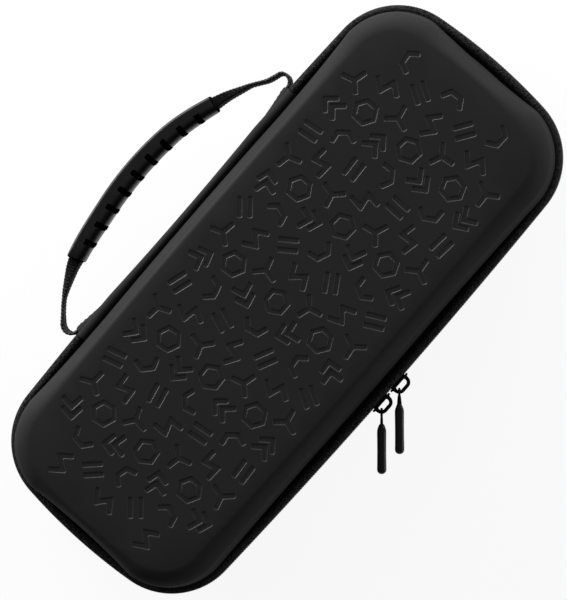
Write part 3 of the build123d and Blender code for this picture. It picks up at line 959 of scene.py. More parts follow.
def base_shell():
    skin = Skin()
    outer, edge, inner = shell_sections(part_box("base_shell")[1].z, 0.0)
    first = skin.add_points(shell_loop(outer[0], 0.0, -1))
    last = list(range(first, first + len(RIM)))
    skin.add_face(last, None, 0)
    close_shell(skin, last, outer, edge, inner, 0.0, -1)
    return dress(skin.piece("base_shell_skin", [SKIN, LINING]), "base", "shell_skin", "base_shell")


# Zip: arched tapes, coil teeth and sliders

TAPE_THICKNESS = 0.8 * MM
TAPE_FACE = 0.4 * MM
ARCH_RADIUS = 2.4 * MM
ARCH_CENTRE = 3.6 * MM
TAPE_FOOT = 1.4 * MM
TEETH_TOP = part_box("lid_zip_teeth")[1].z - ZIP
TOOTH_PITCH = 1.4 * MM
TOOTH_DEPTH = 1.6 * MM
TOOTH_REACH = 0.3 * MM


def arch_outline(face, start, foot_end):
    """Section of cloth arched over the rim, as (outwards, up): over the top to a foot at the shell."""
    centre = (face - ARCH_RADIUS, ARCH_CENTRE)
    back = face - 2 * ARCH_RADIUS
    foot = TAPE_FOOT + TAPE_THICKNESS
    over = [(face, start)] + arc(centre, ARCH_RADIUS, 0, 180, 14)
    under = arc(centre, ARCH_RADIUS - TAPE_THICKNESS, 180, 0, 10) + [(face - TAPE_THICKNESS, start)]
    heel = [(back, foot), (foot_end, foot), (foot_end, TAPE_FOOT), (back + TAPE_THICKNESS, TAPE_FOOT)]
    return over + heel + under


def swept(run, section, up):
    """Rings of a section carried along the rim, upright or upside down about the zip."""
    return [[at(station, out, ZIP + up * rise) for out, rise in section] for station in run]


def zip_tape(body, up):
    section = arch_outline(-TAPE_FACE, TEETH_TOP, -WALL_INSET)
    tape = ringed(body + "_tape_weave", swept(ZIP_RUN, section, up), [TAPE])
    return dress(tape, body, "zip_tape", body + "_zip_tape")


def tooth_unit(shift, up):
    """One turn of the coil: a slanted loop with a swollen head, from the tape to past the zip."""
    lean = 0.16 * TOOTH_PITCH
    depth = TOOTH_DEPTH / 2
    stages = [
        (TEETH_TOP + 0.25 * MM, 0.24, 0.75),
        (TEETH_TOP - 0.45 * MM, 0.30, 0.95),
        (0.35 * MM, 0.30, 0.98),
        (0.0, 0.37, 1.0),
        (-TOOTH_REACH, 0.30, 0.75),
    ]
    rings = []
    for rise, width, deep in stages:
        slant = shift + lean * (rise / TEETH_TOP - 0.5)
        ring = arc((0, 0), 1.0, 0, 315, 7)
        rings.append(
            [
                (slant + width * TOOTH_PITCH * x, depth + deep * depth * y, up * rise)
                for x, y in ring
            ]
        )
    return ringed("tooth_unit", rings, [NYLON])


def zip_teeth(body, up, shift):
    unit = tooth_unit(shift, up)
    path = [at(station, 0, ZIP) for station in ZIP_RUN]
    teeth = units_along(body + "_coil", path, False, unit, TOOTH_PITCH, (0, 0, 1), NYLON)
    bpy.data.objects.remove(unit)
    return dress(teeth, body, "zip_teeth", body + "_zip_teeth")


SLIDER_MIDDLE = 0.9 * MM
SLIDER_SPACING = 13.4 * MM
SLIDER_LENGTH = 12.5 * MM
SLIDER_HALF_HEIGHT = 3.3 * MM
SLIDER_PLATE = 1.1 * MM
SLIDER_CLEARANCE = 0.2 * MM
SLIDER_INNER_FACE = 1.9 * MM
PLATE_EDGE = 0.35 * MM
PLATE_BEVEL = 0.1 * MM
FLANGE_EDGE = 0.15 * MM
FLANGE_STEPS = 8
FLANGE_WIDTH = 0.9 * MM
FLANGE_REACH = 0.33 * MM
FLANGE_CLEARANCE = 0.15 * MM
SLIDER_POST = 0.8 * MM
POST_ROUND = 0.3 * MM
POST_SINK = 0.3 * MM
SLIDER_POST_LENGTH = 2.4 * MM
BRIDGE_LENGTH = 10.0 * MM
BRIDGE_REACH = 4.4 * MM
BRIDGE_WIRE = 1.7 * MM
BRIDGE_BEND = 2.6 * MM
BRIDGE_SWELL = 1.1
BRIDGE_FOOT = [1.9, 1.5, 1.22]


def front_frame(x):
    """Matrix of the place on the front rim at a distance along it: x along the zip, y inwards, z up."""
    angle = math.asin(x / LONG_SIDE_RADIUS)
    y = -LONG_CENTRE - LONG_SIDE_RADIUS * math.cos(angle)
    origin = Vector((LONG_SIDE_RADIUS * math.sin(angle), y, ZIP))
    return Matrix.Translation(origin) @ Matrix.Rotation(angle, 4, "Z")


def stadium(length, height, inset):
    """Outline of a bar with round ends, drawn in along its edge."""
    radius = height / 2 - inset
    x = (length - height) / 2
    return arc((x, 0), radius, -90, 90, 12) + arc((-x, 0), radius, 90, 270, 12)


def slider_plate(skin, place, near, far):
    """Plate between two distances inwards from the rim, with rounded edges."""
    front = [(near, PLATE_EDGE), (near + PLATE_BEVEL, PLATE_BEVEL), (near + PLATE_EDGE, 0)]
    back = [(far - PLATE_EDGE, 0), (far - PLATE_BEVEL, PLATE_BEVEL), (far, PLATE_EDGE)]
    rings = [
        [place @ Vector((x, y, z)) for x, z in stadium(SLIDER_LENGTH, 2 * SLIDER_HALF_HEIGHT, inset)]
        for y, inset in front + back
    ]
    skin.add_rings(rings, caps=True)


def slider_flange(skin, place, up):
    """Rim of the outer plate that turns in against the tape, above or below the teeth."""
    middle = SLIDER_LENGTH / 2 - SLIDER_HALF_HEIGHT
    near = SLIDER_HALF_HEIGHT - FLANGE_WIDTH
    start = math.degrees(math.asin((TEETH_TOP + FLANGE_CLEARANCE) / near))
    root = -SLIDER_CLEARANCE - SLIDER_PLATE / 2
    section = [
        (SLIDER_HALF_HEIGHT - FLANGE_EDGE, root),
        (SLIDER_HALF_HEIGHT - FLANGE_EDGE, FLANGE_REACH - FLANGE_EDGE),
        (SLIDER_HALF_HEIGHT - 2 * FLANGE_EDGE, FLANGE_REACH),
        (near, FLANGE_REACH),
        (near, root),
    ]
    rings = []
    for centre, first, last in ((middle, start, 90), (-middle, 90, 180 - start)):
        for n in range(FLANGE_STEPS + 1):
            turn = math.radians(first + (last - first) * n / FLANGE_STEPS)
            along = math.cos(turn)
            rise = up * math.sin(turn)
            rings.append([place @ Vector((centre + r * along, y, r * rise)) for r, y in section])
    skin.add_rings(rings, caps=True)


def tube(skin, path, radius, steps=12, normal=Vector((0, 0, 1)), swell=None):
    """Round tube along points in a plane across the normal, capped at both ends."""
    ring = arc((0, 0), 1, 0, 360 - 360 / steps, steps - 1)
    rings = []
    for n, point in enumerate(path):
        tangent = (path[min(n + 1, len(path) - 1)] - path[max(n - 1, 0)]).normalized()
        side = tangent.cross(normal).normalized()
        rise = side.cross(tangent)
        reach = radius * (swell[n] if swell else 1)
        rings.append([point + (side * x + rise * y) * reach for x, y in ring])
    skin.add_rings(rings, caps=True)


def bridge_corner():
    """Half the bridge wire's straight length and its bends' distance outwards."""
    x = BRIDGE_LENGTH / 2 - BRIDGE_WIRE / 2 - BRIDGE_BEND
    return x, SLIDER_CLEARANCE + SLIDER_PLATE + BRIDGE_REACH - BRIDGE_WIRE / 2 - BRIDGE_BEND


def slider(side, x):
    """Two plates astride the teeth, the post between them and the bridge for the pull."""
    skin = Skin()
    place = front_frame(x)
    slider_plate(skin, place, -SLIDER_CLEARANCE - SLIDER_PLATE, -SLIDER_CLEARANCE)
    slider_plate(skin, place, SLIDER_INNER_FACE, SLIDER_INNER_FACE + SLIDER_PLATE)
    for up in (1, -1):
        slider_flange(skin, place, up)
    along = -side * (SLIDER_LENGTH / 2 - SLIDER_POST_LENGTH)
    post = rounded_box(SLIDER_POST_LENGTH, SLIDER_POST, POST_ROUND)
    depths = [-SLIDER_CLEARANCE - POST_SINK, SLIDER_INNER_FACE + POST_SINK]
    skin.add_rings([[place @ Vector((along + px, y, pz)) for px, pz in post] for y in depths], caps=True)
    half, out = bridge_corner()
    root = SLIDER_CLEARANCE + SLIDER_PLATE / 2
    foot = [(half + BRIDGE_BEND, root + (out - root) * n / 3) for n in range(3)]
    bend = arc((half, out), BRIDGE_BEND, 0, 90, 10)
    leg = foot + bend
    wire = leg + [(-px, py) for px, py in leg[::-1]]
    swell = BRIDGE_FOOT + [BRIDGE_SWELL] * (2 * len(bend)) + BRIDGE_FOOT[::-1]
    tube(skin, [place @ Vector((px, -py, 0)) for px, py in wire], BRIDGE_WIRE / 2, swell=swell)
    name = "slider_right" if side > 0 else "slider_left"
    return dress(skin.piece(name + "_casting", [ENAMEL]), name, "slider_metal", name)


# Pulls: a doubled cord and a moulded tab on each slider

PULL_ANGLE = 48.5
PULL_CORD = 1.2 * MM
PULL_CORD_CLEARANCE = 0.15 * MM
PULL_CORD_LENGTH = 6.1 * MM
PULL_LENGTH = 25.0 * MM
PULL_WIDTH = 4.7 * MM
PULL_THICKNESS = 4.6 * MM
PULL_NECK = 4.2 * MM
CORD_TURN = BRIDGE_WIRE / 2 + PULL_CORD_CLEARANCE + PULL_CORD / 2
CORD_TWIST = {"left": 20, "right": 58}
CORD_STEPS = 12
CORD_SPREAD = 0.62 * PULL_CORD
CORD_SINK = 0.5 * MM
PULL_STEPS = 44
PULL_WAIST = 0.06
PULL_TIP = 0.002


def pull_frame(x):
    """Matrix of the place where the cord bears on the bridge: x along the pull, z up."""
    half, out = bridge_corner()
    turn = math.radians(PULL_ANGLE)
    away = Vector((-math.sin(turn), -math.cos(turn), 0))
    origin = Vector((-half, -out, 0)) + away * BRIDGE_BEND
    axes = Matrix((away, Vector((0, 0, 1)).cross(away), (0, 0, 1))).transposed().to_4x4()
    return front_frame(x) @ Matrix.Translation(origin) @ axes


def pull_cord(side, x):
    """A half turn round the wire and two strands that twist on their way into the tab."""
    place = pull_frame(x)
    turns = [math.radians(90 + 180 * n / CORD_STEPS) for n in range(CORD_STEPS + 1)]
    bend = [Vector((CORD_TURN * math.cos(t), 0, CORD_TURN * math.sin(t))) for t in turns]
    strand = []
    for n in range(1, CORD_STEPS + 1):
        share = n / CORD_STEPS
        angle = math.radians(CORD_TWIST[side]) * smoothstep(share)
        spread = CORD_TURN + (CORD_SPREAD - CORD_TURN) * smoothstep(1.5 * share)
        reach = share * (PULL_CORD_LENGTH + CORD_SINK)
        strand.append(Vector((reach, spread * math.sin(angle), spread * math.cos(angle))))
    other = [Vector((point.x, -point.y, -point.z)) for point in strand]
    path = [place @ point for point in strand[::-1] + bend + other]
    skin = Skin()
    flat = place.to_3x3() @ Vector((0, 1, 0))
    tube(skin, path, PULL_CORD / 2, 10, flat)
    node = "pull_cord_" + side
    return dress(skin.piece(node + "_braid", [BRAID]), "pull_" + side, "pull_cord", node)


def pull_tab(side, x):
    """Moulded bar with pointed shoulders, long flats and a round lower end."""
    place = pull_frame(x)
    section = rounded_box(1, PULL_THICKNESS / PULL_WIDTH, 0.3, 5)
    rings = []
    for n in range(PULL_STEPS + 1):
        along = PULL_LENGTH * 0.5 * (1 - math.cos(math.pi * n / PULL_STEPS))
        neck = min(1.0, along / PULL_NECK)
        shoulder_share = 0.5 + 0.5 * math.sin(math.radians(90 * neck))
        tail = max(0.0, along - PULL_LENGTH + PULL_WIDTH / 2) / (PULL_WIDTH / 2)
        reach = PULL_WIDTH * shoulder_share * math.sqrt(max(1 - tail**2, PULL_TIP))
        waist = 1 - PULL_WAIST * math.sin(math.pi * along / PULL_LENGTH)
        rings.append(
            [
                place @ Vector((PULL_CORD_LENGTH + along, px * reach * waist, pz * reach))
                for px, pz in section
            ]
        )
    node = "pull_tab_" + side
    return dress(ringed(node + "_bar", rings, [PULL], 60), "pull_" + side, "pull_rubber", node)


# Spine and the handle's sewn ends

SPINE_LID_GAP = 0.3 * MM
SPINE_INSET = 1.5 * MM
STITCH_PITCH = 3.2 * MM
STITCH_LENGTH = 2.3 * MM
STITCH_WIDTH = 0.55 * MM
SPINE_FLARE = 1.25 * MM
SPINE_FLARE_FULL = 56.0 * MM
SPINE_DIP = 0.3 * MM


def stitch_unit():
    """One stitch: a short thread that dives at both ends."""
    steps = 6
    rings = []
    for n in range(steps + 1):
        share = n / steps
        x = (share - 0.5) * STITCH_LENGTH
        rise = (math.sin(math.pi * share) - 0.6) * 0.3 * MM
        reach = STITCH_WIDTH / 2 * (0.55 + 0.45 * math.sin(math.pi * share))
        rings.append([(x, reach * y, rise + 0.8 * reach * z) for y, z in arc((0, 0), 1, 0, 300, 5)])
    return ringed("stitch_unit", rings, [SEWING_THREAD])


STITCH = stitch_unit()


def stitches(name, points, closed, up):
    return units_along(name, points, closed, STITCH, STITCH_PITCH, up, SEWING_THREAD)


def spine_section():
    """Section of the cloth over both halves of the rim, as (outwards, up)."""
    upper = arch_outline(-SPINE_INSET, 0, SPINE_LID_GAP - WALL_INSET)[1:-1]
    lower = [(out, -rise) for out, rise in arch_outline(-SPINE_INSET, 0, -WALL_INSET)[1:-1]]
    return upper + lower[::-1]


def spine_ring(station):
    """Ring of the cloth at a place along the back, pulled outwards towards the handle's anchors."""
    along = at(station, 0, 0).x
    flare = SPINE_FLARE * min(1.0, (along / SPINE_FLARE_FULL) ** 2) - SPINE_DIP
    depth = WALL_INSET - SPINE_INSET
    ring = [(out + flare * (out + WALL_INSET) / depth, rise) for out, rise in spine_section()]
    return [at(station, out, ZIP + rise) for out, rise in ring]


def hinge_spine():
    spine = ringed("spine_cloth", [spine_ring(station) for station in SPINE_RUN], [SKIN])
    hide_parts("hinge_spine")
    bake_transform(spine)
    return spine


ANCHOR_ROUND = 2.6 * MM
ANCHOR_ARCH_TOP = ZIP - ARCH_CENTRE - ARCH_RADIUS - 0.25 * MM
ANCHOR_SPINE_LAP = 0.15 * MM
ANCHOR_BURY = 1.5 * MM
ANCHOR_SLOPE = 0.45
ANCHOR_TIP_INSET = 1.2 * MM
ANCHOR_END = 1.8 * MM
SEAM_ABOVE = 3.5 * MM
SEAM_BELOW = 5.0 * MM
SEAM_NEAR = 14 * MM
SEAM_FAR = 2.2 * MM
SEAM_RISE = 0.1 * MM


def anchor_face(x):
    """Distance outwards of the anchor's face at a place along it."""
    share = (x - ANCHOR_LOW.x) / (ANCHOR_HIGH.x - ANCHOR_LOW.x)
    tip = HALF_WIDTH - ANCHOR_TIP_INSET
    return tip + (ANCHOR_HIGH.y - tip) * share**1.5


def rim_back(x):
    """Y of the rim line along the back."""
    return LONG_CENTRE + math.sqrt(LONG_SIDE_RADIUS**2 - x**2)


def anchor_ring(x, shrink):
    """Section of the anchor across the case: against the base's wall, under the spine and out."""
    rim = rim_back(x)
    face = anchor_face(x) - shrink
    top = ANCHOR_HIGH.z - shrink
    bottom = ANCHOR_LOW.z + shrink
    near = rim - SPINE_INSET - ANCHOR_SPINE_LAP
    reach = max(0.0, face - near)
    low_bend = max(0.2 * MM, min(ANCHOR_ROUND, reach - 0.1 * MM))
    wall = rim - WALL_INSET - ANCHOR_BURY
    outline = [(wall, ANCHOR_ARCH_TOP), (wall, bottom)]
    outline += arc((face - low_bend, bottom + low_bend), low_bend, -90, 0, 8)
    drop = reach * ANCHOR_SLOPE
    steps = 10
    for n in range(steps + 1):
        share = math.radians(90 * n / steps)
        outline.append((near + reach * math.cos(share), top - drop * 2 + drop * 2 * math.sin(share)))
    outline += [(near, ANCHOR_ARCH_TOP)]
    return outline


def handle_anchor(side):
    """Padded end of the spine on the base's wall, which the strap's tail is sewn into."""
    steps = 30
    length = ANCHOR_HIGH.x - ANCHOR_LOW.x
    spots = [(ANCHOR_LOW.x + (length - ANCHOR_END) * n / steps, 0.0) for n in range(steps + 1)]
    end = [math.radians(90 * n / 6) for n in range(1, 7)]
    spots += [
        (ANCHOR_HIGH.x - ANCHOR_END * (1 - math.sin(t)), ANCHOR_END * (1 - math.cos(t)))
        for t in end
    ]
    rings = [[Vector((side * x, y, z)) for y, z in anchor_ring(x, shrink)] for x, shrink in spots]
    name = "handle_anchor_right" if side > 0 else "handle_anchor_left"
    anchor = dress(ringed(name + "_pad", rings, [SKIN]), "base", "spine_cloth", name)
    low = ANCHOR_LOW.z + SEAM_ABOVE
    high = ANCHOR_HIGH.z - SEAM_BELOW
    near = ANCHOR_HIGH.x - SEAM_NEAR
    far = ANCHOR_HIGH.x - SEAM_FAR
    corners = [(near, low), (far, low), (far, high), (near, high)]
    path = [Vector((side * x, anchor_face(x) + SEAM_RISE, z)) for x, z in corners]
    seam = stitches(name + "_stitches", path, True, (0, 1, 0))
    dress(seam, "base", "webbing")
    return anchor


# Handle: webbing strap and rubber grip

STRAP = 1.4 * MM
STRAP_LEVEL = (STRAP_LOW.z + STRAP_HIGH.z) / 2
STRAP_WIDTH = STRAP_HIGH.z - STRAP_LOW.z
STRAP_TAIL = 5.0 * MM
STRAP_TAIL_Y = STRAP_LOW.y + STRAP / 2
STRAP_BEND_RADIUS = 4.5 * MM
STRAP_SLOPE = 31
SHOULDER_BEND = 50.0 * MM
ARCH_BEND = 167.0 * MM
GRIP_HALF = 52.0 * MM
STRAP_RIB = 1.7 * MM
STRAP_RIB_RISE = 0.2 * MM
STRAP_SHIFT = 0.65 * MM
SHIFT_RUN = (22.0 * MM, 34.0 * MM)
STRAP_SWELL = {"left": 5.4 * MM, "right": 4.2 * MM}
SWELL_START = {"left": 28.0 * MM, "right": 33.0 * MM}
SWELL_END = 53.0 * MM
STRAP_LEAN = {"left": 0.1, "right": 0.0}
LEAN_RUN = (12.0 * MM, 22.0 * MM)
HANDLE_SKEW = 2.1 * MM
SKEW_START = 24.0 * MM
SKEW_FULL = 64.0 * MM
SKEW_FADE = 76.0 * MM
SKEW_END = 88.0 * MM
SKEW_RISE = (72.0 * MM, 80.0 * MM)
ARCH_TURN = math.degrees(math.asin(GRIP_HALF / ARCH_BEND))
ARCH_TOP_Y = STRAP_HIGH.y - STRAP / 2
ARCH_Y = ARCH_TOP_Y - ARCH_BEND


def skewed(point):
    """The soft handle's skew: its left shoulder bulges outwards and its right one sinks."""
    x = abs(point.x)
    rise = smoothstep((x - SKEW_START) / (SKEW_FULL - SKEW_START))
    fade = 1 - smoothstep((x - SKEW_FADE) / (SKEW_END - SKEW_FADE))
    clear = smoothstep((point.y - SKEW_RISE[0]) / (SKEW_RISE[1] - SKEW_RISE[0]))
    return point - Vector((0, math.copysign(HANDLE_SKEW * rise * fade * clear, point.x), 0))


def strap_half():
    """Middle line of the strap's right half in plan, from its tail to the arch's top, as (x, y)."""
    bend = (SPINE_HALF, STRAP_TAIL_Y + STRAP_BEND_RADIUS)
    sink = ARCH_BEND - SHOULDER_BEND
    turn = math.radians(ARCH_TURN)
    shoulder_place = (sink * math.sin(turn), ARCH_Y + sink * math.cos(turn))
    tail = [(SPINE_HALF - STRAP_TAIL + STRAP_TAIL * n / 16, STRAP_TAIL_Y) for n in range(16)]
    line = tail + arc(bend, STRAP_BEND_RADIUS, -90, 90 - STRAP_SLOPE, 28)
    ease = arc(shoulder_place, SHOULDER_BEND, 90 - STRAP_SLOPE, 90 - ARCH_TURN, 40)
    start = Vector(line[-1])
    run = Vector(ease[0]) - start
    steps = 80
    line += [tuple(start + run * (n / steps)) for n in range(1, steps)]
    line += ease
    line += arc((0, ARCH_Y), ARCH_BEND, 90 - ARCH_TURN, 90, 20)[1:]
    return line


def handle_strap():
    """Webbing that thickens where it is folded back towards the grip, with ribs across it."""
    half = strap_half()
    line = half + [(-x, y) for x, y in half[-2::-1]]
    along = distances([Vector(point) for point in line], False)
    total = along[-1]
    rings = []
    for n, (x, y) in enumerate(line):
        ahead = Vector(line[min(n + 1, len(line) - 1)]) - Vector(line[max(n - 1, 0)])
        out = Vector((ahead.y, -ahead.x)).normalized()
        reach = min(along[n], total - along[n])
        shift = STRAP_SHIFT * smoothstep((reach - SHIFT_RUN[0]) / (SHIFT_RUN[1] - SHIFT_RUN[0]))
        side = "left" if x < 0 else "right"
        fold = between_0_and_1((reach - SWELL_START[side]) / (SWELL_END - SWELL_START[side]))
        rib = STRAP_RIB_RISE * abs(math.sin(math.pi * along[n] / STRAP_RIB))
        outer = STRAP / 2 + rib + shift
        inner = STRAP / 2 + rib - shift + STRAP_SWELL[side] * fold
        lean = STRAP_LEAN[side] * smoothstep((reach - LEAN_RUN[0]) / (LEAN_RUN[1] - LEAN_RUN[0])) * (1 - fold)
        section = rounded_box(outer + inner, STRAP_WIDTH + 2 * rib, 0.8 * MM, 3)
        middle = (outer - inner) / 2
        aside = [(middle + d - lean * z, z) for d, z in section]
        spots = [Vector((x + out.x * d, y + out.y * d, STRAP_LEVEL + z)) for d, z in aside]
        rings.append([skewed(spot) for spot in spots])
    strap = ringed("strap_webbing", rings, [WEBBING], 60)
    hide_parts("handle_strap")
    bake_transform(strap)
    return strap


GRIP_OUTER = 2.9 * MM
GRIP_INNER = 8.0 * MM
GRIP_INNER_TAPER = 1.8 * MM
GRIP_SHIFT = -2.0 * MM
GRIP_LONGER = 2.0 * MM
GRIP_NOTCHES = 9
GRIP_NOTCH_PITCH = 11.0 * MM
GRIP_NOTCH = 2.8 * MM
NOTCH_WALL = 0.25 * MM
NOTCH_DEPTH = 0.15 * MM
NOTCH_LENGTH = 5.6 * MM
NOTCH_DROP = 2.4 * MM
GRIP_OUTER_ROUND = 1.6 * MM
GRIP_OUTER_FALL = 6.0 * MM
OUTER_STEPS = 10
CROWN_STEPS = 4
GRIP_INNER_ROUND = 3.6 * MM
GRIP_INNER_FALL = 6.0 * MM
GRIP_END_ROUND = 0.8 * MM
GRIP_END_STEP = 0.25 * MM
NOTCH_LIP = 0.12


def grip_section(shrink, notch, taper):
    """Section of the grip as (outwards from the strap's line, up): oval inside, notched by a share."""
    half = (GRIP_HIGH.z - GRIP_LOW.z) / 2 - shrink
    outer = GRIP_OUTER - shrink
    inner = GRIP_INNER_TAPER * taper - GRIP_INNER + shrink
    shoulder_low = half - GRIP_OUTER_FALL
    plain = []
    for n in range(OUTER_STEPS + 1):
        turn = math.radians(90 * n / OUTER_STEPS)
        out = outer - GRIP_OUTER_ROUND * (1 - math.cos(turn))
        plain.append((out, shoulder_low + GRIP_OUTER_FALL * math.sin(turn)))
    sunk = list(plain)
    crown = outer - GRIP_OUTER_ROUND
    edge = inner + GRIP_INNER_ROUND
    length = NOTCH_LENGTH * (1 - 0.35 * taper)
    for n in range(1, CROWN_STEPS + 1):
        plain.append((crown + (edge - crown) * n / (CROWN_STEPS + 1), half))
        sunk.append((crown + (inner + length - crown) * n / CROWN_STEPS, half))
    low = half - GRIP_INNER_FALL
    for n in range(13):
        turn = math.radians(90 * n / 12)
        plain.append((edge - GRIP_INNER_ROUND * math.sin(turn), low + GRIP_INNER_FALL * math.cos(turn)))
        reach = NOTCH_DEPTH + (length - NOTCH_DEPTH) * (1 - n / 12)
        sunk.append((inner + reach, half - NOTCH_DROP * (0.7 + 0.3 * n / 12)))
    for n in range(1, 4):
        plain.append((inner, low * (1 - n / 3)))
        sunk.append((inner + NOTCH_DEPTH, (half - NOTCH_DROP) * (1 - n / 3)))
    upper = [
        (near[0] + (far[0] - near[0]) * notch, near[1] + (far[1] - near[1]) * notch)
        for near, far in zip(plain, sunk)
    ]
    lower = [(out, -rise) for out, rise in upper[-2::-1]]
    return upper + lower


def grip_stages():
    """Places along the grip from its middle, with how far it is drawn in and notched there."""
    half = ARCH_BEND * math.radians(ARCH_TURN) + GRIP_LONGER
    stages = [
        (-half, GRIP_END_ROUND, 0),
        (-half + GRIP_END_STEP, GRIP_END_STEP, 0),
        (-half + GRIP_END_ROUND, 0, 0),
    ]
    wall = [(-NOTCH_WALL, 0), (0, NOTCH_LIP), (NOTCH_WALL, 1)]
    for number in range(GRIP_NOTCHES):
        middle = (number - (GRIP_NOTCHES - 1) / 2) * GRIP_NOTCH_PITCH
        edge = GRIP_NOTCH / 2
        block = GRIP_NOTCH_PITCH - GRIP_NOTCH
        stages += [(middle - edge - block * 0.5 + block * 0.1 * n, 0, 0) for n in range(1, 5)]
        stages += [(middle - edge + along, 0, notch) for along, notch in wall]
        stages += [(middle, 0, 1)]
        stages += [(middle + edge - along, 0, notch) for along, notch in wall[::-1]]
        stages += [(middle + edge + block * 0.1 * n, 0, 0) for n in range(1, 5)]
    ends = [(-along, shrink, notch) for along, shrink, notch in stages[2::-1]]
    return stages + ends


def handle_grip():
    """Rubber sleeve on the strap, with blocks and notches on the side towards the case."""
    rings = []
    stages = grip_stages()
    for along, shrink, notch in stages:
        turn = (along + GRIP_SHIFT) / ARCH_BEND
        out = Vector((math.sin(turn), math.cos(turn), 0))
        middle = Vector((0, ARCH_Y, STRAP_LEVEL)) + out * ARCH_BEND
        taper = (along / stages[-1][0]) ** 2
        section = grip_section(shrink, notch, taper)
        rings.append([skewed(middle + out * d + Vector((0, 0, z))) for d, z in section])
    first = OUTER_STEPS + CROWN_STEPS
    last = len(rings[0]) - 1 - first

    # Material 1 is the darker rubber with painted shade, on the notches and on the rounded ends.
    def finish(i, j):
        rounded_end = max(stages[i][1], stages[i + 1][1]) > 0
        notched = max(stages[i][2], stages[i + 1][2]) > 0.1
        return 1 if rounded_end or notched and first <= j < last else 0

    skin = Skin()
    skin.add_rings(rings, finish=finish, caps=True)
    grip = skin.piece("grip_sleeve", [GRIP, NOTCH], 50)
    return dress(grip, "handle", "grip_rubber", "handle_grip")


# Inside: bound edges, foam tray and net pocket

BINDING_THICKNESS = 0.8 * MM
BINDING_SEAM = 1.2 * MM


def edge_binding(body, up):
    """Ribbed tape round a shell's mouth, with a row of stitches."""
    low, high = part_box(body + "_edge_binding")
    middle = (low.z + high.z) / 2
    section = rounded_box(BINDING_THICKNESS, high.z - low.z, 0.35 * MM, 3)
    inset = CAVITY_INSET + BINDING_THICKNESS / 2
    rings = [[at(station, x - inset, middle + z) for x, z in section] for station in RIM]
    skin = Skin()
    skin.add_rings(rings, closed_run=True)
    tape = skin.piece(body + "_binding_tape", [BINDING])
    dress(tape, body, "edge_binding", body + "_edge_binding")
    face = CAVITY_INSET + BINDING_THICKNESS
    seam = stitches(body + "_binding_stitches", loop(face, middle - up * BINDING_SEAM), True, (0, 0, 1))
    dress(seam, body, "edge_binding")


TRAY_INSET = HALF_LENGTH - TRAY_HIGH.x
TRAY_RIM = 5.0 * MM
TRAY_FLOOR = 4.0 * MM
TRAY_ROUND = 1.6 * MM
TRAY_HOLLOW_ROUND = 3.0 * MM


def console_tray():
    """Foam tray under brushed knit: soft rim and a shallow bed for the console."""
    foot = SHOULDER_RADIUS - WALL
    top = TRAY_HIGH.z
    floor = TRAY_LOW.z + TRAY_FLOOR
    hollow = TRAY_INSET + TRAY_RIM
    section = [(TRAY_INSET + foot - x, TRAY_LOW.z + foot - y) for x, y in arc((0, 0), foot, 90, 0, 6)]
    quarter = arc((0, 0), TRAY_ROUND, 0, 90, 6)
    section += [(TRAY_INSET + TRAY_ROUND - x, top - TRAY_ROUND + y) for x, y in quarter]
    section += [(hollow - TRAY_ROUND + x, top - TRAY_ROUND + y) for x, y in quarter[::-1]]
    bed = (hollow + TRAY_HOLLOW_ROUND, floor + TRAY_HOLLOW_ROUND)
    section += [(bed[0] - x, bed[1] - y) for x, y in arc((0, 0), TRAY_HOLLOW_ROUND, 0, 90, 6)]
    skin = Skin()
    rings = [loop(inset, z) for inset, z in section]
    first = skin.add_rings(rings)
    count = len(RIM)
    skin.add_face(list(range(first, first + count)))
    last = first + (len(rings) - 1) * count
    skin.add_face(list(range(last, last + count)))
    tray = skin.piece("console_tray_foam", [LINING])
    return dress(tray, "base", "tray_lining", "console_tray")


HEM_ROUND = 0.8 * MM
HEM_STEPS = 60
NET_CELL = 2.8 * MM
NET_THREAD_RADIUS = 0.37 * MM
NET_INSET = CAVITY_INSET + 0.6 * MM


def net_lines():
    """Points and edges of a net of six-sided cells over the pocket's outline."""
    rise = NET_CELL / math.sqrt(3)
    numbers = {}
    points = []
    edges = set()
    level = (NET_LOW.z + NET_HIGH.z) / 2
    front = NET_LOW.y + NET_THREAD_RADIUS

    def number(x, y):
        key = (round(x / NET_CELL * 6), round(y / rise * 6))
        if key not in numbers:
            numbers[key] = len(points)
            points.append((x, y, level))
        return numbers[key]

    turns = [math.radians(60 * n) for n in range(6)]
    columns = int(HALF_LENGTH / NET_CELL)
    rows = int(HALF_WIDTH / rise)
    for row in range(-rows, rows + 1):
        for column in range(-columns, columns + 1):
            x = (column + 0.5 * (row % 2)) * NET_CELL
            y = row * 1.5 * rise
            ring = [(x + rise * math.sin(t), y + rise * math.cos(t)) for t in turns]
            if all(py > front and rim_inset(px, py) > NET_INSET for px, py in ring):
                found = [number(px, py) for px, py in ring]
                edges |= {tuple(sorted((found[n], found[(n + 1) % 6]))) for n in range(6)}
    return points, sorted(edges)


def lid_pocket():
    points, edges = net_lines()
    data = bpy.data.meshes.new("pocket_net_lines")
    data.from_pydata(points, edges, [])
    net = grow("pocket_net", data, THREADS, {"Thread Radius": NET_THREAD_RADIUS, "Finish": NET_THREAD})
    dress(net, "lid", "pocket_net", "lid_pocket_net")
    middle = (HEM_LOW + HEM_HIGH) / 2
    section = rounded_box(HEM_HIGH.y - HEM_LOW.y, HEM_HIGH.z - HEM_LOW.z, HEM_ROUND, 4)
    spots = [HEM_LOW.x + (HEM_HIGH.x - HEM_LOW.x) * n / HEM_STEPS for n in range(HEM_STEPS + 1)]
    rings = [[Vector((x, middle.y + y, middle.z + z)) for y, z in section] for x in spots]
    hem = ringed("pocket_hem_elastic", rings, [ELASTIC])
    dress(hem, "lid", "pocket_elastic", "lid_pocket_hem")


# The object

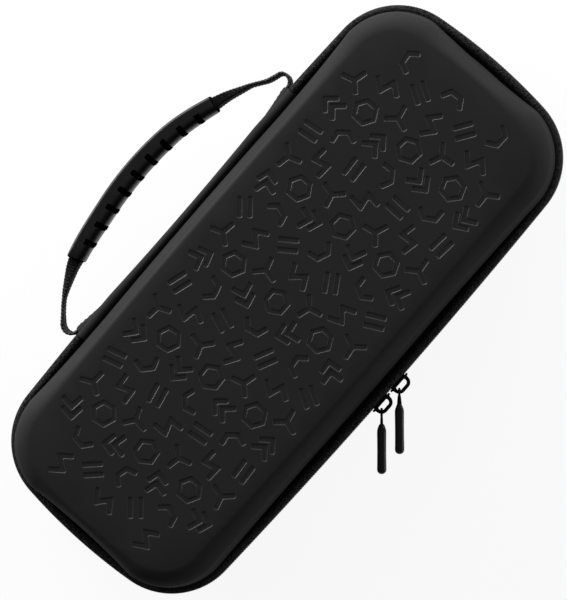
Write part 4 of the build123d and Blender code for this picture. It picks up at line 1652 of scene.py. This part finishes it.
lid_shell()
base_shell()
for body, up in (("base", -1), ("lid", 1)):
    zip_tape(body, up)
    zip_teeth(body, up, 0.5 * TOOTH_PITCH if up > 0 else 0.0)
    edge_binding(body, up)
for name, side in (("left", -1), ("right", 1)):
    spot = SLIDER_MIDDLE + side * SLIDER_SPACING / 2
    slider(side, spot)
    pull_cord(name, spot)
    pull_tab(name, spot)
    handle_anchor(side)
hinge_spine()
handle_strap()
handle_grip()
console_tray()
lid_pocket()
bpy.data.objects.remove(STITCH)


# Floor, light and camera

FLOOR_HALF = 4.0
FLOOR_LEVEL = -0.3 * MM
FLOOR_GREY = 0.8
FLOOR_GLOW = 0.9
WORLD_LIGHT = 0.14


def pale_floor():
    """Wide white floor that shows near white to the eye and still takes a soft shadow."""
    data = bpy.data.meshes.new("floor")
    corners = [(-1, -1), (1, -1), (1, 1), (-1, 1)]
    data.from_pydata([(FLOOR_HALF * x, FLOOR_HALF * y, FLOOR_LEVEL) for x, y in corners], [], [(0, 1, 2, 3)])
    floor = show("floor", data)
    material = bpy.data.materials.new("floor_white")
    material.use_nodes = True
    tree = material.node_tree
    tree.nodes.clear()
    paint = tree.nodes.new("ShaderNodeBsdfDiffuse")
    paint.inputs["Color"].default_value = (FLOOR_GREY, FLOOR_GREY, FLOOR_GREY, 1)
    glow = tree.nodes.new("ShaderNodeEmission")
    rays = tree.nodes.new("ShaderNodeLightPath")
    mirrored = tree.nodes.new("ShaderNodeMath")
    mirrored.operation = "MAXIMUM"
    seen = tree.nodes.new("ShaderNodeMath")
    seen.operation = "MAXIMUM"
    share = tree.nodes.new("ShaderNodeMath")
    share.operation = "MULTIPLY"
    share.inputs[1].default_value = FLOOR_GLOW
    mix = tree.nodes.new("ShaderNodeMixShader")
    output = tree.nodes.new("ShaderNodeOutputMaterial")
    link = tree.links.new
    link(rays.outputs["Is Glossy Ray"], mirrored.inputs[0])
    link(rays.outputs["Is Transmission Ray"], mirrored.inputs[1])
    link(rays.outputs["Is Camera Ray"], seen.inputs[0])
    link(mirrored.outputs[0], seen.inputs[1])
    link(seen.outputs[0], share.inputs[0])
    link(share.outputs[0], mix.inputs["Fac"])
    link(paint.outputs["BSDF"], mix.inputs[1])
    link(glow.outputs["Emission"], mix.inputs[2])
    link(mix.outputs["Shader"], output.inputs["Surface"])
    data.materials.append(material)


def soft_box(name, place, target, width, height, power):
    """Rectangular area lamp that faces a point."""
    data = bpy.data.lights.new(name, "AREA")
    data.shape = "RECTANGLE"
    data.size = width
    data.size_y = height
    data.energy = power
    lamp = show(name, data)
    lamp.location = place
    lamp.rotation_euler = (Vector(target) - Vector(place)).to_track_quat("-Z", "Y").to_euler()


def studio_light():
    world = bpy.data.worlds.new("studio")
    bpy.context.scene.world = world
    world.use_nodes = True
    background = world.node_tree.nodes["Background"]
    background.inputs["Color"].default_value = (1, 1, 1, 1)
    background.inputs["Strength"].default_value = WORLD_LIGHT
    middle = (0, 0, ZIP)
    soft_box("key_lamp", (0.15, 1.3, 0.36), middle, 1.8, 0.7, 68)
    soft_box("side_lamp", (1.4, 0.2, 0.36), middle, 1.0, 0.7, 24)
    soft_box("front_lamp", (0.6, -1.3, 0.4), middle, 0.8, 0.7, 11)


CAMERA_PLACE = Vector((113.7, -104.9, 1333.2)) * MM
CAMERA_RIGHT = Vector((0.65431, -0.74696, -0.11800))
CAMERA_DOWN = Vector((-0.75122, -0.65994, 0.01200))
FOCAL_LENGTH = 156


def camera():
    data = bpy.data.cameras.new("camera")
    data.lens = FOCAL_LENGTH
    data.sensor_width = 36
    data.clip_start = 0.01
    data.clip_end = 20
    eye = show("camera", data)
    right = CAMERA_RIGHT.normalized()
    up = -CAMERA_DOWN.normalized()
    back = right.cross(up).normalized()
    axes = Matrix((right, back.cross(right), back)).transposed()
    eye.matrix_world = Matrix.Translation(CAMERA_PLACE) @ axes.to_4x4()
    bpy.context.scene.camera = eye


pale_floor()
studio_light()
camera()
bpy.context.scene.view_settings.view_transform = "Standard"
